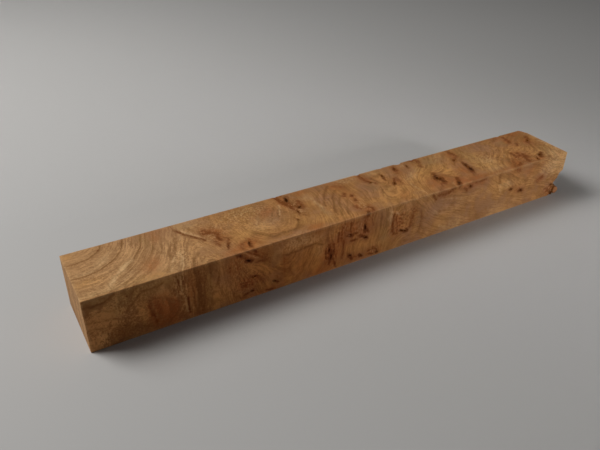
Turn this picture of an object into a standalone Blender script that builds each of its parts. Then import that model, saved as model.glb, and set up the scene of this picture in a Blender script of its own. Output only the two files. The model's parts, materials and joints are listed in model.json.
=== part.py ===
"""A sawn bar of elm burl: one piece of wood with bud pits, a bark void and a wane at its right end.

Metres, +Z up. X runs along the bar, the front is -Y, and the origin is the middle of the
underside. The void is in the right end's front edge, and the wane is on its back edge.
"""

import math
import random
from collections import namedtuple

import bmesh
import bpy
from mathutils import Matrix, Vector, noise

# The sawn bar.
LENGTH = 0.311
WIDTH = 0.040
HEIGHT = 0.030
EASED_ARRIS = 0.0003

# A pit is a bud hole in one face. Its place is measured along the bar from the left end (on an
# end face from the front arris), and down from the far arris (top, bottom) or from the top arris.
# Its turn is the angle of its long axis to the first direction, seen from outside the face.
Pit = namedtuple("Pit", "face along down long wide deep turn")

VISIBLE_PITS = [
    Pit("top", 0.1212, 0.0063, 0.0042, 0.0016, 0.0040, 70),
    Pit("top", 0.0844, 0.0352, 0.0040, 0.0013, 0.0015, 78),
    Pit("top", 0.1240, 0.0163, 0.0024, 0.0015, 0.0014, 50),
    Pit("top", 0.1208, 0.0204, 0.0028, 0.0013, 0.0010, 85),
    Pit("top", 0.1170, 0.0275, 0.0024, 0.0013, 0.0010, 75),
    Pit("top", 0.1743, 0.0123, 0.0020, 0.0011, 0.0010, 15),
    Pit("top", 0.1850, 0.0095, 0.0036, 0.0014, 0.0015, 72),
    Pit("top", 0.1863, 0.0198, 0.0026, 0.0014, 0.0014, 55),
    Pit("top", 0.1972, 0.0056, 0.0032, 0.0020, 0.0014, 75),
    Pit("top", 0.2063, 0.0058, 0.0024, 0.0013, 0.0012, 70),
    Pit("top", 0.2130, 0.0273, 0.0040, 0.0026, 0.0022, -60),
    Pit("top", 0.2192, 0.0386, 0.0020, 0.0014, 0.0014, 50),
    Pit("top", 0.2390, 0.0250, 0.0090, 0.0016, 0.0018, 80),
    Pit("top", 0.2376, 0.0135, 0.0018, 0.0013, 0.0010, 60),
    Pit("top", 0.2920, 0.0338, 0.0028, 0.0018, 0.0018, 40),
    Pit("top", 0.2862, 0.0374, 0.0022, 0.0012, 0.0010, 60),
    Pit("top", 0.3010, 0.0150, 0.0024, 0.0015, 0.0010, 30),
    Pit("front", 0.0812, 0.0060, 0.0026, 0.0012, 0.0020, -25),
    Pit("front", 0.0840, 0.0170, 0.0024, 0.0010, 0.0010, 15),
    Pit("front", 0.0825, 0.0255, 0.0020, 0.0013, 0.0010, -10),
    Pit("front", 0.0955, 0.0240, 0.0024, 0.0013, 0.0012, -15),
    Pit("front", 0.1302, 0.0206, 0.0034, 0.0013, 0.0018, 85),
    Pit("front", 0.1289, 0.0158, 0.0028, 0.0010, 0.0012, 80),
    Pit("front", 0.1420, 0.0105, 0.0024, 0.0017, 0.0012, -20),
    Pit("front", 0.1427, 0.0242, 0.0024, 0.0015, 0.0014, -35),
    Pit("front", 0.1518, 0.0083, 0.0034, 0.0013, 0.0024, -82),
    Pit("front", 0.1524, 0.0150, 0.0026, 0.0013, 0.0012, -20),
    Pit("front", 0.1502, 0.0264, 0.0018, 0.0012, 0.0016, -30),
    Pit("front", 0.1613, 0.0278, 0.0018, 0.0013, 0.0018, -20),
    Pit("front", 0.1779, 0.0186, 0.0022, 0.0010, 0.0018, -15),
    Pit("front", 0.1803, 0.0196, 0.0024, 0.0012, 0.0018, -25),
    Pit("front", 0.2272, 0.0028, 0.0022, 0.0016, 0.0010, 10),
    Pit("front", 0.2640, 0.0148, 0.0022, 0.0013, 0.0010, 0),
    Pit("front", 0.2730, 0.0180, 0.0028, 0.0020, 0.0016, -10),
    Pit("front", 0.3022, 0.0214, 0.0020, 0.0014, 0.0018, 0),
]

# The hidden faces carry pits of the same kinds, in the same clusters along the bar.
CLUSTERS_ALONG = (0.078, 0.122, 0.150, 0.180, 0.213, 0.240, 0.282)
CLUSTER_SPREAD = 0.007
PITS_PER_CLUSTER = {"back": 2, "bottom": 2}
END_PITS = {"right_end": 4}
HIDDEN_LONG = (0.0018, 0.0042)
HIDDEN_SHAPE = (0.45, 0.70)
HIDDEN_DEEP = (0.0009, 0.0020)
MARGIN = 0.004
KEEP_CLEAR = 0.006
PIT_SEED = 17
PIT_ROUGHNESS = 0.22

# Chips that the saw and bark left out of the far top arris: along the bar, length, reach.
ARRIS_CHIPS = [
    (0.1170, 0.0022, 0.0008),
    (0.1728, 0.0034, 0.0011),
    (0.1895, 0.0040, 0.0007),
    (0.2032, 0.0052, 0.0015),
    (0.2140, 0.0026, 0.0008),
    (0.2880, 0.0040, 0.0009),
]
# How far a chip runs down the back face, as a share of its reach in the top.
CHIP_DROP = 1.3

# The bark void in the front right edge, as lumps: distance in from the right end, distance in
# from the front, height, and the three radii.
VOID_LUMPS = [
    ((-0.0005, 0.0005, 0.0087), (0.0070, 0.0080, 0.0046)),
    ((-0.0006, -0.0004, 0.0130), (0.0042, 0.0060, 0.0045)),
    ((-0.0012, 0.0066, 0.0092), (0.0046, 0.0056, 0.0048)),
    ((0.0004, -0.0004, 0.0034), (0.0062, 0.0039, 0.0056)),
    ((0.0074, -0.0003, 0.0006), (0.0011, 0.0024, 0.0022)),
]
# The burl nub that is left standing under the void. The saw cut it off flat where it reached the
# end, the front and the underside, this far inside them.
NUB_CENTRE = (0.00265, 0.0016, 0.00255)
NUB_RADII = (0.0027, 0.0027, 0.0026)
NUB_SAWN_IN = 0.00005
NUB_ROUGHNESS = 0.05
VOID_ROUGHNESS = 0.14

# The wane: a bark face that takes off the back right edge, widest at the top.
WANE_ALONG = 0.0029
WANE_ACROSS = 0.0070
WANE_DEPTH = 0.0190
WANE_WAVE = 0.0005
WANE_WAVES = 7.0
WANE_CUTS = 9

# Torn wood is bumpy at two scales. The numbers are bumps across a lump of radius 1.
BROAD_BUMPS = 1.9
FINE_BUMPS = 4.3
FINE_SHARE = 0.5
# Where each kind of lump starts in the noise.
PIT_NOISE = 0
CHIP_NOISE = 40
VOID_NOISE = 60
NUB_NOISE = 80

WOOD_COLOUR = (0.42, 0.25, 0.12, 1.0)
WOOD_ROUGHNESS = 0.62

# Each face's outward normal, and the corner and directions its pits are measured from.
LEFT, RIGHT = -LENGTH / 2, LENGTH / 2
FRONT, BACK = -WIDTH / 2, WIDTH / 2
FACES = {
    "top": (Vector((LEFT, BACK, HEIGHT)), Vector((1, 0, 0)), Vector((0, -1, 0)), LENGTH, WIDTH),
    "bottom": (Vector((LEFT, FRONT, 0)), Vector((1, 0, 0)), Vector((0, 1, 0)), LENGTH, WIDTH),
    "front": (Vector((LEFT, FRONT, HEIGHT)), Vector((1, 0, 0)), Vector((0, 0, -1)), LENGTH, HEIGHT),
    "back": (Vector((RIGHT, BACK, HEIGHT)), Vector((-1, 0, 0)), Vector((0, 0, -1)), LENGTH, HEIGHT),
    "left_end": (Vector((LEFT, BACK, HEIGHT)), Vector((0, -1, 0)), Vector((0, 0, -1)), WIDTH, HEIGHT),
    "right_end": (Vector((RIGHT, FRONT, HEIGHT)), Vector((0, 1, 0)), Vector((0, 0, -1)), WIDTH, HEIGHT),
}


def clear_scene():
    for obj in list(bpy.data.objects):
        bpy.data.objects.remove(obj)


def wood_material():
    material = bpy.data.materials.new("elm_burl")
    material.use_nodes = True
    shader = material.node_tree.nodes["Principled BSDF"]
    shader.inputs["Base Color"].default_value = WOOD_COLOUR
    shader.inputs["Roughness"].default_value = WOOD_ROUGHNESS
    shader.inputs["Metallic"].default_value = 0.0
    return material


def object_from(bm, name, collection):
    mesh = bpy.data.meshes.new(name)
    bm.normal_update()
    bm.to_mesh(mesh)
    bm.free()
    obj = bpy.data.objects.new(name, mesh)
    collection.objects.link(obj)
    return obj


def as_helper(obj):
    obj.hide_render = True
    obj.display_type = "WIRE"
    return obj


def sawn_bar():
    """The bar as the saw left it, with its arrises just eased."""
    bm = bmesh.new()
    bmesh.ops.create_cube(bm, size=1.0)
    bmesh.ops.scale(bm, vec=(LENGTH, WIDTH, HEIGHT), verts=bm.verts)
    bmesh.ops.translate(bm, vec=(0, 0, HEIGHT / 2), verts=bm.verts)
    bmesh.ops.bevel(
        bm,
        geom=list(bm.edges),
        offset=EASED_ARRIS,
        segments=1,
        profile=0.5,
        affect="EDGES",
        material=-1,
    )
    return object_from(bm, "elm_burl_block", bpy.context.scene.collection)


def roughened(bm, roughness, seed):
    """Pushes the points of a unit ball in and out, for the broken look of torn wood."""
    start = Vector((seed * 1.73, seed * 0.91, seed * 2.39))
    for vert in bm.verts:
        broad = noise.noise(vert.co * BROAD_BUMPS + start)
        fine = noise.noise(vert.co * FINE_BUMPS + start)
        vert.co *= 1 + roughness * (broad + FINE_SHARE * fine)


def lump(name, place, radii, roughness, seed, collection, subdivisions=2):
    """An uneven ball, as a cutter or as burl. place is a matrix that carries it into the bar."""
    bm = bmesh.new()
    bmesh.ops.create_icosphere(bm, subdivisions=subdivisions, radius=1.0)
    roughened(bm, roughness, seed)
    bmesh.ops.transform(bm, matrix=place @ Matrix.Diagonal((*radii, 1.0)), verts=bm.verts)
    return as_helper(object_from(bm, name, collection))


def face_matrix(face, along, down, turn):
    """Carries X to a pit's long axis and Z to the face's outward normal."""
    corner, first, second, _, _ = FACES[face]
    normal = second.cross(first)
    axes = Matrix((first, -second, normal)).transposed().to_4x4()
    centre = corner + first * along + second * down
    return Matrix.Translation(centre) @ axes @ Matrix.Rotation(math.radians(turn), 4, "Z")


def hidden_pits():
    """Seeded pits for the faces that the picture doesn't show."""
    rng = random.Random(PIT_SEED)
    pits = []

    def draw(face, along):
        _, _, _, run, height = FACES[face]
        down = rng.uniform(MARGIN, height - MARGIN)
        long = rng.uniform(*HIDDEN_LONG)
        wide = long * rng.uniform(*HIDDEN_SHAPE)
        near_middle = math.hypot(along - run / 2, down - height / 2) < KEEP_CLEAR
        if not near_middle:
            deep = rng.uniform(*HIDDEN_DEEP)
            pits.append(Pit(face, along, down, long, wide, deep, rng.uniform(-90, 90)))

    for face, count in PITS_PER_CLUSTER.items():
        for middle in CLUSTERS_ALONG:
            for _ in range(count):
                draw(face, LENGTH - middle + rng.gauss(0, CLUSTER_SPREAD))
    for face, count in END_PITS.items():
        for _ in range(count):
            draw(face, rng.uniform(2 * MARGIN, WIDTH - 2 * MARGIN))
    return pits


def cut_pits(collection):
    for index, pit in enumerate(VISIBLE_PITS + hidden_pits()):
        place = face_matrix(pit.face, pit.along, pit.down, pit.turn)
        radii = (pit.long / 2, pit.wide / 2, pit.deep)
        lump(f"pit_{index:02d}", place, radii, PIT_ROUGHNESS, PIT_NOISE + index, collection)


def cut_arris_chips(collection):
    for index, (along, long, reach) in enumerate(ARRIS_CHIPS):
        place = Matrix.Translation((LEFT + along, BACK, HEIGHT))
        radii = (long / 2, reach, reach * CHIP_DROP)
        lump(f"chip_{index}", place, radii, PIT_ROUGHNESS, CHIP_NOISE + index, collection)


def corner_point(inward):
    """A place measured in from the right end, in from the front, and up from the underside."""
    from_end, from_front, height = inward
    return Matrix.Translation((RIGHT - from_end, FRONT + from_front, height))


def cut_void(collection):
    for index, (centre, radii) in enumerate(VOID_LUMPS):
        place = corner_point(centre)
        lump(f"void_{index}", place, radii, VOID_ROUGHNESS, VOID_NOISE + index, collection, 3)


def leave_nub(collection):
    nub = lump("nub", corner_point(NUB_CENTRE), NUB_RADII, NUB_ROUGHNESS, NUB_NOISE, collection, 3)
    for vert in nub.data.vertices:
        vert.co.x = min(vert.co.x, RIGHT - NUB_SAWN_IN)
        vert.co.y = max(vert.co.y, FRONT + NUB_SAWN_IN)
        vert.co.z = max(vert.co.z, NUB_SAWN_IN)


def cut_wane(collection):
    """A wavy slab that leans in over the back right edge and leaves it at WANE_DEPTH."""
    bm = bmesh.new()
    bmesh.ops.create_grid(bm, x_segments=WANE_CUTS, y_segments=WANE_CUTS, size=0.5)
    for vert in bm.verts:
        broad = noise.noise(vert.co * WANE_WAVES)
        fine = noise.noise(vert.co * 2 * WANE_WAVES)
        vert.co.z += WANE_WAVE * (broad + FINE_SHARE * fine) / WANE_ACROSS
    bottom = list(bm.faces)
    lifted = bmesh.ops.extrude_face_region(bm, geom=bottom)["geom"]
    tops = [part for part in lifted if isinstance(part, bmesh.types.BMVert)]
    bmesh.ops.translate(bm, vec=(0, 0, 1), verts=tops)
    bmesh.ops.recalc_face_normals(bm, faces=bm.faces)
    # The slab's underside passes through these three points of the bar.
    on_end = Vector((RIGHT, BACK - WANE_ACROSS, HEIGHT))
    on_back = Vector((RIGHT - WANE_ALONG, BACK, HEIGHT))
    at_foot = Vector((RIGHT, BACK, HEIGHT - WANE_DEPTH))
    outward = (on_back - on_end).cross(at_foot - on_end).normalized()
    if outward.x < 0:
        outward.negate()
    up = (at_foot - (on_end + on_back) / 2).normalized()
    side = up.cross(outward)
    axes = Matrix((side, up, outward)).transposed().to_4x4()
    middle = Matrix.Translation((on_end + on_back + at_foot) / 3)
    wide, tall = 1.6 * WANE_DEPTH, 2.4 * WANE_DEPTH
    place = middle @ axes @ Matrix.Diagonal((wide, tall, WANE_ACROSS, 1.0))
    bmesh.ops.transform(bm, matrix=place, verts=bm.verts)
    return as_helper(object_from(bm, "wane", collection))


def boolean(target, operation, collection):
    modifier = target.modifiers.new(f"{operation.lower()}_{collection.name}", "BOOLEAN")
    modifier.operation = operation
    modifier.operand_type = "COLLECTION"
    modifier.collection = collection
    modifier.solver = "EXACT"


def new_collection(name):
    collection = bpy.data.collections.new(name)
    bpy.context.scene.collection.children.link(collection)
    return collection


def main():
    clear_scene()
    block = sawn_bar()
    block.data.materials.append(wood_material())

    broken = new_collection("broken_away")
    cut_void(broken)
    cut_wane(broken)
    cut_arris_chips(broken)

    kept = new_collection("burl_nub")
    leave_nub(kept)

    pits = new_collection("bud_pits")
    cut_pits(pits)

    boolean(block, "DIFFERENCE", broken)
    boolean(block, "UNION", kept)
    boolean(block, "DIFFERENCE", pits)
    block.data.shade_flat()


main()
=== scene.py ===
"""The looks of a sawn bar of elm burl: its finished surface and figure, the floor, light and camera.

The bar is one piece, laid out in millimetres on the sawn block: along it from the left end, and down
each face from its far or top arris. The script turns these into metres where it makes a shape.
"""

import json
import math
import random
from collections import namedtuple

import bmesh
import bpy
import numpy as np
from bpy.props import FloatProperty, FloatVectorProperty, PointerProperty
from mathutils import Matrix, Vector, noise

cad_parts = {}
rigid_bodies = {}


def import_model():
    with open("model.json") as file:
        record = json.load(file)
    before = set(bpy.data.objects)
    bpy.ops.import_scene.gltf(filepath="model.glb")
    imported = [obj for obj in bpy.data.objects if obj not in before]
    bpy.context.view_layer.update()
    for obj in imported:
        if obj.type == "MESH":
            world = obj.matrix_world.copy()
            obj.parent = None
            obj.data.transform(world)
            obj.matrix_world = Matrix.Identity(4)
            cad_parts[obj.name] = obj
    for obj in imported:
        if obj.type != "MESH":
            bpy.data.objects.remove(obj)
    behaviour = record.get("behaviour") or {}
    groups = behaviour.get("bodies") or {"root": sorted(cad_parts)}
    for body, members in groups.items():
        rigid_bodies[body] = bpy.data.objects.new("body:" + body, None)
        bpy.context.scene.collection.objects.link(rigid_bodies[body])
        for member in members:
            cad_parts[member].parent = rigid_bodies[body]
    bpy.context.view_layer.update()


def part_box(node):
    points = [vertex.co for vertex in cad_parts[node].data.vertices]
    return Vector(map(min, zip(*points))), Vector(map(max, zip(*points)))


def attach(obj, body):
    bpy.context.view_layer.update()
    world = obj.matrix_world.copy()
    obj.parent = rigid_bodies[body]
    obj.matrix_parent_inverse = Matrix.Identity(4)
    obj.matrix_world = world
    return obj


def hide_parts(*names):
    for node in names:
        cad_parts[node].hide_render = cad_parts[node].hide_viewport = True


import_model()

bl_info = {
    "name": "Elm Burl Block",
    "version": (1, 0, 0),
    "blender": (4, 5, 0),
    "location": "View3D > Sidebar > Burl Block",
    "description": "Builds a sawn bar of elm burl and the studio that it is shown in",
    "category": "Add Mesh",
}

NODE = "elm_burl_block"
PIECE = "burl_bar"
MM = 0.001

LOW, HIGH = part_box(NODE)
SIZE = HIGH - LOW
SPAN = SIZE / MM
LENGTH, WIDTH = SPAN.xy
Face = namedtuple("Face", "corner first second run height")


def block_face(first, second):
    """A face of the block. Its corner is the one from which both directions run along the block."""
    first, second = Vector(first), Vector(second)
    inward = first + second - second.cross(first)
    corner = [low if step > 0 else high for low, high, step in zip(LOW, HIGH, inward)]
    return Face(Vector(corner), first, second, abs(first.dot(SPAN)), abs(second.dot(SPAN)))


# The block's six faces. A place on one is measured from its corner along its first and second
# directions, and the outward normal is the second direction crossed with the first.
FACES = {
    "top": block_face((1, 0, 0), (0, -1, 0)),
    "bottom": block_face((1, 0, 0), (0, 1, 0)),
    "front": block_face((1, 0, 0), (0, 0, -1)),
    "back": block_face((-1, 0, 0), (0, 0, -1)),
    "left_end": block_face((0, -1, 0), (0, 0, -1)),
    "right_end": block_face((0, 1, 0), (0, 0, -1)),
}

# A pit is a bud hole: its place, its two widths and depth, its long axis's turn in degrees, and how
# dark its eye is, where 1 is black.
Pit = namedtuple("Pit", "face along down long wide deep turn dark")
# An oval is a stain or an eye: its place, two widths, strength and turn.
Oval = namedtuple("Oval", "face along down long wide strength turn", defaults=(0,))
# A stroke is a line of the figure: its width, strength and points on a face.
Stroke = namedtuple("Stroke", "face wide strength points")


def pits_on(**faces):
    return [Pit(face, *row) for face, rows in faces.items() for row in rows]


def ovals_on(**faces):
    return [Oval(face, *row) for face, rows in faces.items() for row in rows]


def strokes_on(**faces):
    return [Stroke(face, *row[:2], row[2:]) for face, rows in faces.items() for row in rows]


PITS = pits_on(
    top=[
        (121.2, 6.3, 4.2, 1.6, 4, 70, 1), (84.4, 35.2, 4, 1.3, 1.5, 78, 0.42),
        (124, 16.3, 2.4, 1.5, 1.4, 50, 0.35), (120.8, 20.4, 2.8, 1.3, 1, 85, 0.3),
        (117, 27.5, 2.4, 1.3, 1, 75, 0.15), (174.3, 12.3, 2, 1.1, 1, 15, 0.45),
        (185, 9.5, 3.6, 1.4, 1.5, 72, 0.55), (186.3, 19.8, 2.6, 1.4, 1.4, 55, 0.65),
        (197.2, 5.6, 3.2, 2, 1.4, 75, 0.5), (206.3, 5.8, 2.4, 1.3, 1.2, 70, 0.55),
        (213, 27.3, 4, 2.6, 2.2, -60, 0.92), (219.2, 38.6, 2, 1.4, 1.4, 50, 0.78),
        (239, 25, 9, 1.6, 1.8, 80, 0.88), (237.6, 13.5, 1.8, 1.3, 1, 60, 0.35),
        (292, 33.8, 2.8, 1.8, 1.8, 40, 0.78), (286.2, 37.4, 2.2, 1.2, 1, 60, 0.45),
        (301, 15, 2.4, 1.5, 1, 30, 0.35),
    ],
    front=[
        (81.2, 6, 2.6, 1.2, 2, -25, 0.95), (84, 17, 2.4, 1, 1, 15, 0.25),
        (82.5, 25.5, 2, 1.3, 1, -10, 0.32), (95.5, 24, 2.4, 1.3, 1.2, -15, 0.3),
        (130.2, 20.6, 3.4, 1.3, 1.8, 85, 0.6), (128.9, 15.8, 2.8, 1, 1.2, 80, 0.4),
        (142, 10.5, 2.4, 1.7, 1.2, -20, 0.5), (142.7, 24.2, 2.4, 1.5, 1.4, -35, 0.6),
        (151.8, 8.3, 3.4, 1.3, 2.4, -82, 0.9), (152.4, 15, 2.6, 1.3, 1.2, -20, 0.4),
        (150.2, 26.4, 1.8, 1.2, 1.6, -30, 0.7), (161.3, 27.8, 1.8, 1.3, 1.8, -20, 0.8),
        (177.9, 18.6, 2.2, 1, 1.8, -15, 0.8), (180.3, 19.6, 2.4, 1.2, 1.8, -25, 0.8),
        (227.2, 2.8, 2.2, 1.6, 1, 10, 0.35), (264, 14.8, 2.2, 1.3, 1, 0, 0.4),
        (273, 18, 2.8, 2, 1.6, -10, 0.6), (302.2, 21.4, 2, 1.4, 1.8, 0, 0.4),
    ],
)

# The hidden faces carry seeded pits in the same clusters along the bar.
CLUSTERS_ALONG = (78, 122, 150, 180, 213, 240, 282)
CLUSTER_SPREAD = 7
PITS_PER_CLUSTER = {"back": 2, "bottom": 2}
END_PITS = {"right_end": 4}
HIDDEN_LONG = (1.8, 4.2)
HIDDEN_SHAPE = (0.45, 0.70)
HIDDEN_DEEP = (0.9, 2.0)
HIDDEN_DARK = 0.72
ANY_TURN = (-90, 90)
MARGIN = 4
KEEP_CLEAR = 6
PIT_SEED = 17

# Chips out of the far top arris: along the bar, length and reach.
ARRIS_CHIPS = [
    (117.0, 2.2, 0.8), (172.8, 3.4, 1.1), (189.5, 4.0, 0.7),
    (203.2, 5.2, 1.5), (214.0, 2.6, 0.8), (288.0, 4.0, 0.9),
]
CHIP_DROP = 1.3

# The bark void in the front right edge, as lumps: in from the right end, in from the front,
# height, and the three radii. The nub stands under it, and the saw cut it off flat just inside the
# end, the front and the underside.
VOID_LUMPS = [
    ((-0.5, 0.5, 8.7), (7.0, 8.0, 4.6)),
    ((-0.6, -0.4, 13.0), (4.2, 6.0, 4.5)),
    ((-1.2, 6.6, 9.2), (4.6, 5.6, 4.8)),
    ((0.4, -0.4, 3.4), (6.2, 3.9, 5.6)),
    ((7.4, -0.3, 0.6), (1.1, 2.4, 2.2)),
]
NUB_CENTRE = (2.65, 1.6, 2.55)
NUB_RADII = (2.7, 2.7, 2.6)
NUB_SAWN_IN = 0.05

# The wane takes off the back right edge, widest at the top.
WANE_ALONG = 2.9
WANE_ACROSS = 7.0
WANE_DEPTH = 19.0
WANE_WAVE = 0.5
WANE_WAVES = 7.0
WANE_CUTS = 45
# The slab that cuts the wane is so many times the wane's depth wide and high.
WANE_SLAB = (1.6, 2.4)

# Torn wood is bumpy at three scales, as bumps across a lump of radius 1 and their share.
BUMPS = ((1.9, 1.0), (4.3, 0.5), (11.0, 0.14))
PIT_ROUGHNESS = 0.22
VOID_ROUGHNESS = 0.14
NUB_ROUGHNESS = 0.05
PIT_NOISE, CHIP_NOISE, VOID_NOISE, NUB_NOISE = 0, 40, 60, 80
BIG_PIT = 3.0
# How often the ball that a lump starts from is split.
SMALL_PIT_SPLITS, LUMP_SPLITS, VOID_SPLITS = 3, 4, 5
# How far apart the seeds of the lumps and of the waves lie in the noise.
LUMP_STEPS, WAVE_STEPS = (1.73, 0.91, 2.39), (3.7, 1.9, 5.3)

# Eyes without a hole.
EYES = ovals_on(
    top=[
        (17.4, 4.7, 1.8, 1.4, 0.4, 60), (73.2, 23.6, 2.4, 1.2, 0.6, -80),
        (74.4, 31.6, 3.6, 0.8, 0.75, 62), (153.6, 39.2, 2.2, 1.4, 0.8, 60),
        (213.2, 24.8, 3, 1.8, 0.72, 60), (213.8, 31.2, 2.6, 1.8, 0.72, -60),
        (213.2, 28.8, 3.4, 2.4, 0.5, 70), (156.2, 19.6, 2.4, 1.4, 0.4, 20),
        (155.3, 24.4, 2, 1.4, 0.4, 70), (220.6, 37, 4.2, 1.5, 0.72, 62), (239, 25.2, 6.6, 1.5, 0.7, 80),
        (282.4, 30.8, 2.2, 1.6, 0.4, 40), (279.4, 34.6, 2.2, 1.4, 0.45, 70),
    ],
    front=[
        (20.2, 4.8, 1, 0.7, 0.55), (23.3, 15.2, 1, 0.8, 0.6), (19.2, 12.8, 2, 0.7, 0.5, 60),
        (20.4, 10.4, 1.4, 0.6, 0.4, 50), (48.8, 20.6, 6, 0.8, 0.6, 88), (76.8, 1.8, 3, 1.2, 0.55, -35),
        (85.2, 1.2, 2, 1, 0.45, -40), (78.4, 20.4, 2.8, 0.8, 0.5, -8), (79.4, 26.4, 2.2, 1, 0.55, 20),
        (97.2, 24.9, 1.8, 1, 0.6, -40), (93.4, 28.6, 3.2, 0.8, 0.55, -8), (127, 18, 3.6, 0.8, 0.6, 84),
        (131.8, 17, 4, 0.7, 0.65, 86), (130.6, 19.2, 3, 1.8, 0.5, 80), (129.2, 22.6, 2.8, 0.8, 0.6, -76),
        (132.8, 25.6, 3.4, 0.8, 0.7, -66), (145.6, 10.4, 1.6, 0.9, 0.45, -10),
        (144.8, 14.5, 2.8, 0.8, 0.5, -10), (150.6, 13.8, 3, 1.2, 0.55, -35),
        (153.4, 10.4, 1.8, 1, 0.6, -60), (144, 26.2, 1.8, 1, 0.6, -50), (158.6, 28.4, 3, 0.8, 0.35, -14),
        (160.2, 25.6, 2.6, 0.9, 0.4, -40), (171.2, 14, 6, 0.8, 0.4, 88), (182, 19.2, 1.8, 1, 0.7, -60),
        (181.2, 9.6, 1.2, 0.8, 0.6, -30), (199.8, 3, 3, 1, 0.45, -58), (303.6, 27.8, 3.6, 0.9, 0.95, -42),
    ],
)

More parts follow.
